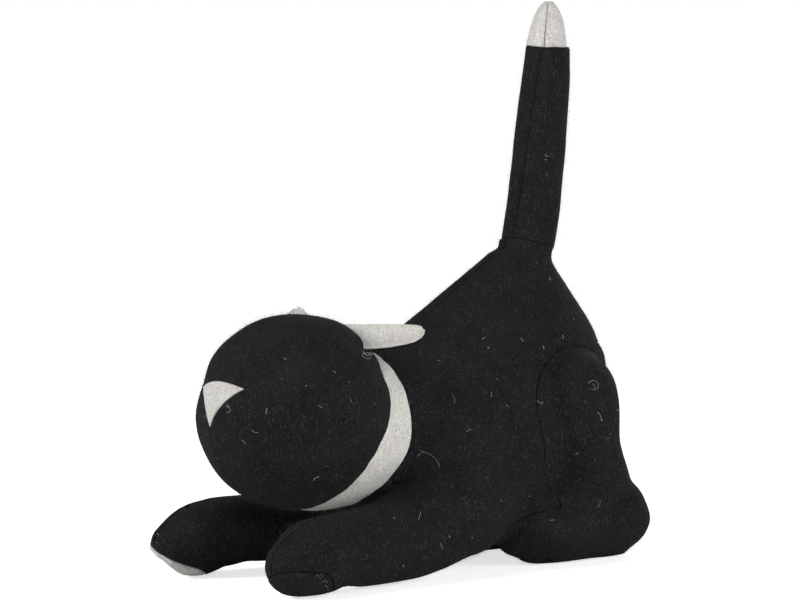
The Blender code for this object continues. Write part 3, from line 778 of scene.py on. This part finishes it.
def make_ears():
    made = {}
    for side, word in ((1, "left"), (-1, "right")):
        made[f"ear_back_{word}"] = ear_layer(f"ear_back_{word}", side, -FELT - 0.0006, -0.0001)
        made[f"ear_lining_{word}"] = ear_layer(f"ear_lining_{word}", side, 0.0, FELT)
    return made


# Tail


def lengths_along(rows):
    """How far along its line each station lies."""
    return np.concatenate([[0], np.cumsum(np.hypot(*np.diff(rows[:, :2], axis=0).T))])


def dense(stations, count):
    """Evenly spaced stations on a smooth line through the given ones."""
    rows = np.array(stations)
    length = lengths_along(rows)
    t = np.linspace(0, length[-1], count)
    out = np.stack([np.interp(t, length, rows[:, k]) for k in range(3)], axis=1)
    for _ in range(count // 4):
        out[1:-1] = (out[:-2] + out[2:] + 2 * out[1:-1]) / 4
    return out, t / length[-1]


def half_tube(name, stations, count, half, turns, start_roll, end_roll, seed):
    rows, share = dense(stations, count)
    length = lengths_along(rows)
    around = 40
    bm = bmesh.new()
    rings = []
    for i, (y, z, radius) in enumerate(rows):
        before, after = rows[max(0, i - 1)], rows[min(len(rows) - 1, i + 1)]
        way = Vector((0, after[0] - before[0], after[1] - before[1])).normalized()
        front = way.cross(Vector((1, 0, 0)))
        turn = math.radians(turns[0] + (turns[1] - turns[0]) * share[i] - 90 + 180 * half)
        ring = []
        for j in range(around + 1):
            v = (1 - math.cos(math.pi * j / around)) / 2
            angle = turn + math.pi * v
            gap = radius * math.pi * min(v, 1 - v)
            ends = []
            if start_roll:
                ends.append(length[i])
            if end_roll:
                ends.append(length[-1] - length[i])
            sink = rolled(np.array([gap]), 0.0026)[0] + 0.0008 * math.exp(-((gap / 0.005) ** 2))
            for end in ends:
                sink = max(sink, rolled(np.array([end]), 0.0006)[0])
            out = Vector((math.cos(angle), 0, 0)) + front * math.sin(angle)
            place = Vector((0, y, z)) + out * radius
            lump = 0.0003 * noise.noise(place * 60 + Vector((seed, 0, 0)))
            ripple = noise.noise(Vector((v * 3 + seed, length[i] * 160, 2)))
            lump += 0.0002 * ripple * math.exp(-gap / 0.006)
            for end in ends:
                lump += 0.0004 * noise.noise(Vector((angle * 4, 0, seed))) * math.exp(-end / 0.006)
            ring.append(bm.verts.new(place + out * (lump - min(sink, radius * 0.8))))
        rings.append(ring)
    for lower, upper in zip(rings, rings[1:]):
        for j in range(around):
            bm.faces.new((lower[j], lower[j + 1], upper[j + 1], upper[j]))
    bmesh.ops.recalc_face_normals(bm, faces=bm.faces)
    middle = Vector((0, rows[len(rows) // 2][0], rows[len(rows) // 2][1]))
    face = next(iter(bm.faces))
    if face.normal.dot(face.calc_center_median() - middle) < 0 and abs(face.normal.z) < 0.5:
        bmesh.ops.reverse_faces(bm, faces=bm.faces)
    piece = object_of(bm, "felt_" + name)
    thick = piece.modifiers.new("Cloth", "SOLIDIFY")
    thick.thickness = min(FELT, 0.0018)
    thick.offset = -1.0
    settle(piece)
    piece.data.shade_smooth()
    return piece


def make_tail():
    made = {}
    for half, word in enumerate(("left", "right")):
        turns = (TAIL_SEAM_LOW, TAIL_SEAM_HIGH)
        made[f"tail_{word}"] = half_tube(f"tail_{word}", TAIL_STATIONS, 110, half, turns, True, True, 5.0)
        turns = (TAIL_SEAM_HIGH, TAIL_SEAM_HIGH)
        tip = half_tube(f"tail_tip_{word}", TAIL_TIP_STATIONS, 36, half, turns, True, False, 6.0)
        made[f"tail_tip_{word}"] = tip
    seam_y, seam_z, _ = TAIL_TIP_STATIONS[0]
    for piece in made.values():
        for vertex in piece.data.vertices:
            place = vertex.co
            near = 0.82 * place.x - 0.57 * (place.y - seam_y)
            place.z -= (0.20 * near + 0.0008) * math.exp(-(((place.z - seam_z) / 0.022) ** 2))
    return made


# Materials


class Tree:
    """Adds nodes to a node tree with few words."""

    def __init__(self, tree):
        self.tree = tree

    def feed(self, value, socket):
        """Links a node's output to a socket, or writes a plain value in it."""
        if isinstance(value, bpy.types.NodeSocket):
            self.tree.links.new(value, socket)
        else:
            socket.default_value = value

    def add(self, kind, settings=None, **inputs):
        node = self.tree.nodes.new(kind)
        for key, value in (settings or {}).items():
            setattr(node, key, value)
        for key, value in inputs.items():
            self.feed(value, node.inputs[key.replace("_", " ")])
        return node

    def maths(self, operation, first, second=0.0):
        node = self.add("ShaderNodeMath", {"operation": operation})
        self.feed(first, node.inputs[0])
        self.feed(second, node.inputs[1])
        return node.outputs[0]


class Nodes(Tree):
    """The nodes of a new material."""

    def __init__(self, name):
        self.material = bpy.data.materials.new(name)
        self.material.use_nodes = True
        super().__init__(self.material.node_tree)
        self.shader = self.tree.nodes["Principled BSDF"]

    def link(self, source, target):
        self.tree.links.new(source, target)

    def noise(self, place, scale, detail=3.0, roughness=0.6, distortion=0.0):
        return self.add(
            "ShaderNodeTexNoise",
            Vector=place,
            Scale=scale,
            Detail=detail,
            Roughness=roughness,
            Distortion=distortion,
        ).outputs["Fac"]

    def between(self, value, low, high, to_low=0.0, to_high=1.0):
        node = self.add("ShaderNodeMapRange", {"clamp": True}, Value=value)
        node.inputs["From Min"].default_value = low
        node.inputs["From Max"].default_value = high
        node.inputs["To Min"].default_value = to_low
        node.inputs["To Max"].default_value = to_high
        return node.outputs["Result"]

    def mix(self, factor, first, second):
        node = self.add("ShaderNodeMix", {"data_type": "RGBA"})
        self.feed(factor, node.inputs[0])
        self.feed(first, node.inputs[6])
        self.feed(second, node.inputs[7])
        return node.outputs[2]


def strokes(n, place, scale, stretch, turn, low, high):
    """Short fibres all lying one way: a thin stretched noise, kept where it is strong."""
    turned = n.add("ShaderNodeMapping", Vector=place, Rotation=turn, Scale=(scale, scale, scale / stretch))
    field = n.noise(turned.outputs[0], 1.0, detail=2.0, roughness=0.5, distortion=0.6)
    return n.between(field, low, high)


def felt(name, dark, base, light, fleck, fleck_amount):
    n = Nodes(name)
    place = n.add("ShaderNodeTexCoord").outputs["Object"]
    cloud = n.between(n.noise(place, 42.0, detail=2.0), 0.35, 0.65)
    grain = n.between(n.noise(place, 620.0, detail=4.0, roughness=0.75), 0.36, 0.64)
    upright = strokes(n, place, 1300.0, 4.0, (0.2, 0.1, 0.0), 0.60, 0.74)
    leaning = strokes(n, place, 1300.0, 4.0, (0.9, 0.5, 0.3), 0.60, 0.74)
    level = strokes(n, place, 1300.0, 4.0, (1.5, 0.2, 0.9), 0.60, 0.74)
    fibres = n.maths("MAXIMUM", upright, n.maths("MAXIMUM", leaning, level))
    patches = n.between(n.noise(place, 130.0, detail=3.0), 0.4, 0.65)
    fibres = n.maths("MULTIPLY", fibres, n.between(patches, 0.0, 1.0, 0.45, 1.0))
    colour = n.mix(n.maths("MULTIPLY", grain, 0.8), (*dark, 1), (*base, 1))
    colour = n.mix(n.maths("MULTIPLY", cloud, 0.35), colour, (*light, 1))
    colour = n.mix(fibres, colour, (*fleck, 1))
    dots = n.add("ShaderNodeTexVoronoi", Vector=place, Scale=330.0, Randomness=1.0)
    dot = n.between(dots.outputs["Distance"], 0.06, 0.13, 1.0, 0.0)
    rare = n.between(n.add("ShaderNodeSeparateColor", Color=dots.outputs["Color"]).outputs[0], 0.97, 0.99)
    dot = n.maths("MULTIPLY", n.maths("MULTIPLY", dot, rare), fleck_amount)
    colour = n.mix(dot, colour, (0.42, 0.42, 0.40, 1))
    n.link(colour, n.shader.inputs["Base Color"])
    n.shader.inputs["Roughness"].default_value = 0.95
    n.shader.inputs["Specular IOR Level"].default_value = 0.2
    height = n.maths("ADD", n.maths("MULTIPLY", grain, 0.6), n.maths("MULTIPLY", fibres, 0.8))
    bump = n.add("ShaderNodeBump", Height=height, Strength=0.35, Distance=0.0005)
    pile = n.noise(place, 260.0, detail=3.0, roughness=0.6)
    bump_two = n.add("ShaderNodeBump", Height=pile, Strength=0.35, Distance=0.0012, Normal=bump.outputs[0])
    n.link(bump_two.outputs[0], n.shader.inputs["Normal"])
    return n.material


def plain(name, colour, roughness=0.9, depth=0.25, scale=500.0):
    n = Nodes(name)
    place = n.add("ShaderNodeTexCoord").outputs["Object"]
    tone = n.between(n.noise(place, scale), 0.35, 0.65)
    dark = tuple(c * (1 - depth) for c in colour)
    n.link(n.mix(tone, (*dark, 1), (*colour, 1)), n.shader.inputs["Base Color"])
    n.shader.inputs["Roughness"].default_value = roughness
    bump = n.add("ShaderNodeBump", Height=n.noise(place, 700.0), Strength=0.4, Distance=0.0006)
    n.link(bump.outputs[0], n.shader.inputs["Normal"])
    return n.material


BLACK = felt(
    "black_felt",
    dark=(0.0014, 0.0014, 0.0017),
    base=(0.0064, 0.0064, 0.0072),
    light=(0.0100, 0.0100, 0.0113),
    fleck=(0.036, 0.036, 0.039),
    fleck_amount=0.8,
)
GREY = felt(
    "grey_felt",
    dark=(0.33, 0.315, 0.29),
    base=(0.60, 0.585, 0.56),
    light=(0.66, 0.645, 0.62),
    fleck=(0.80, 0.79, 0.76),
    fleck_amount=0.0,
)
FIBRE = plain("loose_fibre", (0.85, 0.85, 0.83))
CALICO = plain("calico", (0.62, 0.55, 0.42))


# Short nap and loose hairs, spread over the cloth


def scatter_group(name, segments):
    """A node group that spreads bent hairs over a surface."""
    group = bpy.data.node_groups.new(name, "GeometryNodeTree")
    sockets = (
        ("Cloth", "NodeSocketGeometry"),
        ("Density", "NodeSocketFloat"),
        ("Length", "NodeSocketFloat"),
        ("Width", "NodeSocketFloat"),
        ("Bend", "NodeSocketFloat"),
        ("Lean", "NodeSocketFloat"),
        ("Lift", "NodeSocketFloat"),
        ("Seed", "NodeSocketInt"),
        ("Material", "NodeSocketMaterial"),
    )
    for label, kind in sockets:
        group.interface.new_socket(label, in_out="INPUT", socket_type=kind)
    group.interface.new_socket("Hairs", in_out="OUTPUT", socket_type="NodeSocketGeometry")
    tree = Tree(group)
    add, maths, links = tree.add, tree.maths, group.links
    given = add("NodeGroupInput").outputs
    points = add(
        "GeometryNodeDistributePointsOnFaces",
        Mesh=given["Cloth"],
        Density=given["Density"],
        Seed=given["Seed"],
    )
    strip = add("GeometryNodeMeshGrid", Size_X=1.0, Size_Y=1.0, Vertices_X=2, Vertices_Y=segments + 1)
    where = add("GeometryNodeInputPosition")
    parts = add("ShaderNodeSeparateXYZ", Vector=where.outputs[0])
    run = maths("ADD", parts.outputs["Y"], 0.5)
    taper = maths("SUBTRACT", 1.0, maths("MULTIPLY", run, 0.7))
    x = maths("MULTIPLY", maths("MULTIPLY", parts.outputs["X"], given["Width"]), taper)
    z = maths("MULTIPLY", run, given["Length"])
    y = maths("MULTIPLY", maths("MULTIPLY", maths("MULTIPLY", run, run), given["Length"]), given["Bend"])
    shape = add("ShaderNodeCombineXYZ", X=x, Y=y, Z=z)
    hair = add("GeometryNodeSetPosition", Geometry=strip.outputs["Mesh"], Position=shape.outputs[0])
    low = add("ShaderNodeCombineXYZ", X=maths("MULTIPLY", given["Lean"], 0.75), Y=0.0, Z=0.0)
    high = add("ShaderNodeCombineXYZ", X=given["Lean"], Y=0.0, Z=0.0)
    lean = add("FunctionNodeRandomValue", {"data_type": "FLOAT_VECTOR"})
    links.new(low.outputs[0], lean.inputs[0])
    links.new(high.outputs[0], lean.inputs[1])
    links.new(given["Seed"], lean.inputs["Seed"])
    spin = add("FunctionNodeRandomValue", {"data_type": "FLOAT_VECTOR"})
    spin.inputs[0].default_value = (0.0, 0.0, 0.0)
    spin.inputs[1].default_value = (0.0, 0.0, 2 * math.pi)
    links.new(maths("ADD", given["Seed"], 7.0), spin.inputs["Seed"])
    spin_turn = add("FunctionNodeEulerToRotation", Euler=spin.outputs[0])
    lean_turn = add("FunctionNodeEulerToRotation", Euler=lean.outputs[0])
    rotate = "FunctionNodeRotateRotation"
    local = {"rotation_space": "LOCAL"}
    turned = add(rotate, local, Rotation=points.outputs["Rotation"], Rotate_By=spin_turn.outputs[0])
    tilted = add(rotate, local, Rotation=turned.outputs[0], Rotate_By=lean_turn.outputs[0])
    size = add("FunctionNodeRandomValue", {"data_type": "FLOAT"})
    size.inputs[2].default_value = 0.45
    size.inputs[3].default_value = 1.25
    links.new(maths("ADD", given["Seed"], 3.0), size.inputs["Seed"])
    up = add("ShaderNodeVectorMath", {"operation": "SCALE"}, Vector=points.outputs["Normal"])
    links.new(given["Lift"], up.inputs["Scale"])
    lifted = add("GeometryNodeSetPosition", Geometry=points.outputs["Points"], Offset=up.outputs[0])
    spread = add(
        "GeometryNodeInstanceOnPoints",
        Points=lifted.outputs[0],
        Instance=hair.outputs[0],
        Rotation=tilted.outputs[0],
        Scale=size.outputs[1],
    )
    real = add("GeometryNodeRealizeInstances", Geometry=spread.outputs[0])
    dressed = add("GeometryNodeSetMaterial", Geometry=real.outputs[0], Material=given["Material"])
    out = add("NodeGroupOutput")
    links.new(dressed.outputs[0], out.inputs[0])
    return group


def hairs_on(cloth, group, name, material, **values):
    """The hairs that a node group spreads over a piece of cloth, as a piece of their own."""
    carrier = bpy.data.objects.new(name, cloth.data.copy())
    bpy.context.scene.collection.objects.link(carrier)
    spread = carrier.modifiers.new("Hairs", "NODES")
    spread.node_group = group
    names = {item.name: item.identifier for item in group.interface.items_tree if item.in_out == "INPUT"}
    for label, value in values.items():
        spread[names[label]] = value
    spread[names["Material"]] = material
    settle(carrier)
    return carrier


def thread_along(bm, points, radius):
    """A thin round thread through some points."""
    ways = [(b - a).normalized() for a, b in zip(points, points[1:])]
    rings = []
    for i, point in enumerate(points):
        way = ways[min(i, len(ways) - 1)]
        side = way.orthogonal().normalized()
        other = way.cross(side)
        size = radius * (0.5 if i in (0, len(points) - 1) else 1.0)
        corners = ((1, 0), (0, 1), (-1, 0), (0, -1))
        rings.append([bm.verts.new(point + (side * a + other * b) * size) for a, b in corners])
    for lower, upper in zip(rings, rings[1:]):
        for i in range(4):
            bm.faces.new((lower[i], lower[(i + 1) % 4], upper[(i + 1) % 4], upper[i]))
    bm.faces.new(list(reversed(rings[0])))
    bm.faces.new(rings[-1])


# Bits of lint and thread, each as the places of its bends across the picture, and its thickness
PICTURE = (800, 600)
LINT_PATHS = (
    ((313, 480), (315, 477), (319, 476), 0.00022),
    ((419, 450), (424, 452), (430, 454), (435, 458), (438, 462), (440, 467), 0.00008),
    ((417, 457), (421, 453), (424, 452), 0.00008),
    ((420.5, 511.5), (419.5, 516), (418, 520), 0.00012),
    ((393.5, 518), (394, 519), 0.00024),
    ((226, 406), (229, 407), (231, 410), (230, 413), (227, 412), 0.00013),
    ((227, 404), (229, 407), (231, 406), 0.00010),
    ((267, 408.5), (266.5, 411), (266, 414), 0.00014),
    ((306, 385.5), (306.4, 386.6), 0.00024),
    ((217, 457.5), (217.3, 458.5), 0.00024),
    ((562, 335), (563.5, 337.5), (561.5, 339), 0.00014),
    ((542.5, 346), (543.5, 349.5), 0.00020),
    ((487, 347.5), (488.8, 348.6), 0.00024),
    ((482, 340), (485, 337.5), 0.00014),
    ((490.5, 392), (491.5, 395), (490, 397), 0.00013),
    ((537, 401), (540, 403.5), (543, 402), (541, 405), 0.00011),
    ((588, 384), (590, 381), (594, 380.5), (598, 383), (598, 388), (594, 390), (590, 389), 0.00010),
    ((592, 384), (595, 385.5), (594, 388), 0.00010),
    ((597, 412), (600, 415), (601, 420.5), 0.00014),
    ((601, 419.5), (601.5, 421), 0.00026),
    ((549, 520.5), (554, 520.3), 0.00011),
    ((597, 508), (600, 504), (599.5, 500), 0.00010),
    ((470.8, 537), (472.3, 537.4), 0.00024),
    ((440, 543), (441.5, 546), (442.5, 549), 0.00012),
    ((449, 535.5), (449.5, 537.5), 0.00016),
    ((402, 564), (403.5, 566.5), 0.00018),
    ((157.5, 534), (159.5, 535.5), 0.00020),
    ((545, 154), (546.5, 157.5), (548.5, 156), 0.00013),
    ((544.5, 159), (547, 160.5), 0.00013),
    ((549, 277), (550, 281), 0.00018),
    ((332, 371), (336, 373), 0.00010),
    ((252, 430), (256, 433), (259, 432), 0.00010),
    ((318, 405), (322, 408), 0.00010),
    ((349, 398), (352, 403), 0.00010),
    ((452, 395), (455, 400), (454, 404), 0.00010),
    ((468, 428), (471, 431), 0.00012),
    ((505, 405), (509, 407), 0.00010),
    ((520, 338), (523, 342), 0.00012),
    ((437, 360), (441, 362), 0.00010),
    ((575, 455), (579, 452), 0.00011),
    ((283, 358), (287, 360), 0.00010),
    ((243, 440), (246, 444), 0.00010),
    ((362.5, 351), (364, 355), (367, 356.5), (369.5, 354.5), 0.00018),
    ((363, 354.5), (366, 353), (370, 354), (374, 355.5), 0.00020),
    ((365, 358), (368, 359.5), (370.5, 357.5), (370, 355), 0.00016),
    ((363, 352), (361.5, 356), (364, 359), 0.00014),
    ((368, 353), (371, 352), (375, 354), 0.00018),
    ((316, 575), (318.5, 576), 0.00008),
    ((319, 577), (321, 578.5), 0.00008),
    ((322, 580), (324, 582), 0.00008),
    ((325, 584), (326.5, 587), 0.00008),
    ((320, 574), (323, 576.5), 0.00008),
    ((325, 579), (327.5, 583), 0.00008),
    ((327.5, 586), (328, 591), 0.00008),
    ((163, 556), (165, 557.5), (167.5, 558.5), 0.00018),
    ((618.5, 424), (620, 426), 0.00026),
    ((618.5, 437), (619.5, 439.5), 0.00024),
    ((616, 409), (617.5, 411), 0.00022),
)


def through_pixel(camera, x, y):
    data = camera.data
    width, height = PICTURE
    across = (x - width / 2) / width + data.shift_x
    up = (height / 2 - y) / width + data.shift_y
    way = Vector((across, up, -data.lens / data.sensor_width))
    return (camera.rotation_euler.to_matrix() @ way).normalized()


def make_lint(camera, pieces, material):
    points, faces = [], []
    for piece in pieces:
        start = len(points)
        points += [v.co.copy() for v in piece.data.vertices]
        faces += [[start + i for i in f.vertices] for f in piece.data.polygons]
    tree = bvhtree.BVHTree.FromPolygons(points, faces)
    bm = bmesh.new()
    for *path, radius in LINT_PATHS:
        bends = []
        for x, y in path:
            hit, normal, _, _ = tree.ray_cast(camera.location, through_pixel(camera, x, y))
            if hit is not None:
                bends.append(hit + normal * (radius * 1.5 + 0.0003))
        if len(bends) > 1:
            smooth = []
            for a, b in zip(bends, bends[1:]):
                smooth += [a.lerp(b, i / 3) for i in range(3)]
            smooth.append(bends[-1])
            for _ in range(2):
                smooth[1:-1] = [(a + b * 2 + c) / 4 for a, b, c in zip(smooth, smooth[1:], smooth[2:])]
            thread_along(bm, smooth, radius * 0.8)
    lint = object_of(bm, "lint_bits")
    lint.data.materials.append(material)
    return lint


# Camera, floor and light

CAMERA_TURN = math.radians(55.0)
CAMERA_AWAY = 1.5
CAMERA_HEIGHT = 0.191
CAMERA_ROLL = 0.025
CAMERA_SHIFT = -29.4 / 800
LENS = 105.48


def make_camera():
    back = Vector((math.sin(CAMERA_TURN), -math.cos(CAMERA_TURN), 0))
    right = Vector((math.cos(CAMERA_TURN), math.sin(CAMERA_TURN), 0))
    data = bpy.data.cameras.new("camera")
    data.sensor_width = 36.0
    data.lens = LENS
    data.shift_y = CAMERA_SHIFT
    camera = bpy.data.objects.new("camera", data)
    bpy.context.scene.collection.objects.link(camera)
    target = Vector((0, -0.010, 0)) + SHIFT
    camera.location = target + back * CAMERA_AWAY + Vector((0, 0, CAMERA_HEIGHT)) + right * 0.0042
    turn = Matrix.Rotation(CAMERA_TURN, 4, "Z") @ Matrix.Rotation(math.pi / 2, 4, "X")
    camera.rotation_euler = (turn @ Matrix.Rotation(-CAMERA_ROLL, 4, "Z")).to_euler()
    bpy.context.scene.camera = camera
    return camera


def make_floor():
    bm = bmesh.new()
    bmesh.ops.create_grid(bm, x_segments=1, y_segments=1, size=6.0)
    floor = object_of(bm, "floor")
    n = Nodes("floor")
    nodes, links = n.tree.nodes, n.tree.links
    n.shader.inputs["Base Color"].default_value = (0.86, 0.86, 0.86, 1)
    n.shader.inputs["Roughness"].default_value = 1.0
    n.shader.inputs["Specular IOR Level"].default_value = 0.0
    away = n.add("ShaderNodeVectorMath", {"operation": "LENGTH"})
    links.new(n.add("ShaderNodeTexCoord").outputs["Object"], away.inputs[0])
    level = n.between(away.outputs["Value"], 0.25, 0.9, 0.72, 1.0)
    glow = n.add("ShaderNodeEmission", Color=(1, 1, 1, 1), Strength=level)
    seen = n.add("ShaderNodeAddShader")
    links.new(n.shader.outputs[0], seen.inputs[0])
    links.new(glow.outputs[0], seen.inputs[1])
    pick = n.add("ShaderNodeMixShader", Fac=n.add("ShaderNodeLightPath").outputs["Is Camera Ray"])
    links.new(n.shader.outputs[0], pick.inputs[1])
    links.new(seen.outputs[0], pick.inputs[2])
    links.new(pick.outputs[0], nodes["Material Output"].inputs["Surface"])
    floor.data.materials.append(n.material)


def make_light():
    world = bpy.data.worlds.new("studio")
    bpy.context.scene.world = world
    world.use_nodes = True
    nodes, links = world.node_tree.nodes, world.node_tree.links
    room = nodes["Background"]
    room.inputs["Color"].default_value = (1, 1, 1, 1)
    room.inputs["Strength"].default_value = 0.02
    white = nodes.new("ShaderNodeBackground")
    white.inputs["Color"].default_value = (1, 1, 1, 1)
    white.inputs["Strength"].default_value = 1.0
    path = nodes.new("ShaderNodeLightPath")
    pick = nodes.new("ShaderNodeMixShader")
    links.new(path.outputs["Is Camera Ray"], pick.inputs["Fac"])
    links.new(room.outputs[0], pick.inputs[1])
    links.new(white.outputs[0], pick.inputs[2])
    links.new(pick.outputs[0], nodes["World Output"].inputs["Surface"])

    def lamp(name, place, aim, size, power):
        data = bpy.data.lights.new(name, "AREA")
        data.shape = "DISK"
        data.size = size
        data.energy = power
        thing = bpy.data.objects.new(name, data)
        thing.location = place
        thing.rotation_euler = (Vector(aim) - Vector(place)).to_track_quat("-Z", "Y").to_euler()
        bpy.context.scene.collection.objects.link(thing)

    lamp("left", (-0.70, -1.60, 1.00), (0, 0, 0.11), 0.8, 32.0)
    lamp("right", (1.90, 0.35, 0.35), (0, 0, 0.11), 0.8, 33.0)
    lamp("front", (1.50, -1.05, 0.60), (0, 0, 0.11), 0.8, 6.0)
    lamp("top", (0.30, -0.70, 1.90), (0, 0, 0.11), 0.8, 6.0)
    lamp("rear", (-0.90, 1.80, 1.00), (0, 0, 0.12), 1.0, 14.0)


# Putting it together

camera = make_camera()
make_floor()
make_light()
bpy.context.scene.view_settings.view_transform = "Standard"

GREY_PIECES = {
    "collar",
    "nose",
    "front_sole_right",
    "ear_lining_left",
    "ear_lining_right",
    "tail_tip_left",
    "tail_tip_right",
}
cloth = {}
body_panels, stuffing = make_body()
for made in (body_panels, make_head(), make_ears(), make_tail()):
    cloth.update(made)

nap = scatter_group("nap", 1)
threads = scatter_group("threads", 5)
NAP_BLACK = plain("black_nap", (0.023, 0.023, 0.026), depth=0.75, scale=700.0)
NAP_GREY = plain("grey_nap", (0.80, 0.79, 0.76), depth=0.65, scale=600.0)
LINT = plain("pale_lint", (0.11, 0.11, 0.11))
SHADE = plain("dark_fibre", (0.24, 0.23, 0.21))

for name, piece in cloth.items():
    piece.data.transform(Matrix.Translation(SHIFT))
    grey = name in GREY_PIECES
    piece.data.materials.clear()
    piece.data.materials.append(GREY if grey else BLACK)
    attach(piece, "root")
    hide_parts(name)
    fuzz = hairs_on(
        piece,
        nap,
        "nap_" + name,
        NAP_GREY if grey else NAP_BLACK,
        Density=90000.0 if grey else 360000.0,
        Length=0.0016,
        Width=0.00008,
        Bend=0.5,
        Lean=1.25,
        Lift=0.0,
        Seed=3,
    )
    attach(fuzz, "root")
    if not name.startswith("ear_back"):
        loose = hairs_on(
            piece,
            threads,
            "lint_" + name,
            SHADE if grey else LINT,
            Density=60000.0 if grey else 45000.0,
            Length=0.0022 if grey else 0.0030,
            Width=0.00012 if grey else 0.00007,
            Bend=0.9,
            Lean=1.45,
            Lift=0.0001,
            Seed=11,
        )
        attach(loose, "root")

black_pieces = [piece for name, piece in cloth.items() if name not in GREY_PIECES]
lint = make_lint(camera, black_pieces, plain("lint", (0.42, 0.42, 0.40)))
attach(lint, "root")

for name, piece in stuffing.items():
    piece.data.transform(Matrix.Translation(SHIFT))
    piece.data.materials.append(FIBRE)
    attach(piece, "root")
    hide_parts(name)
for slot in bpy.data.objects["sand_bag"].material_slots:
    slot.material = CALICO
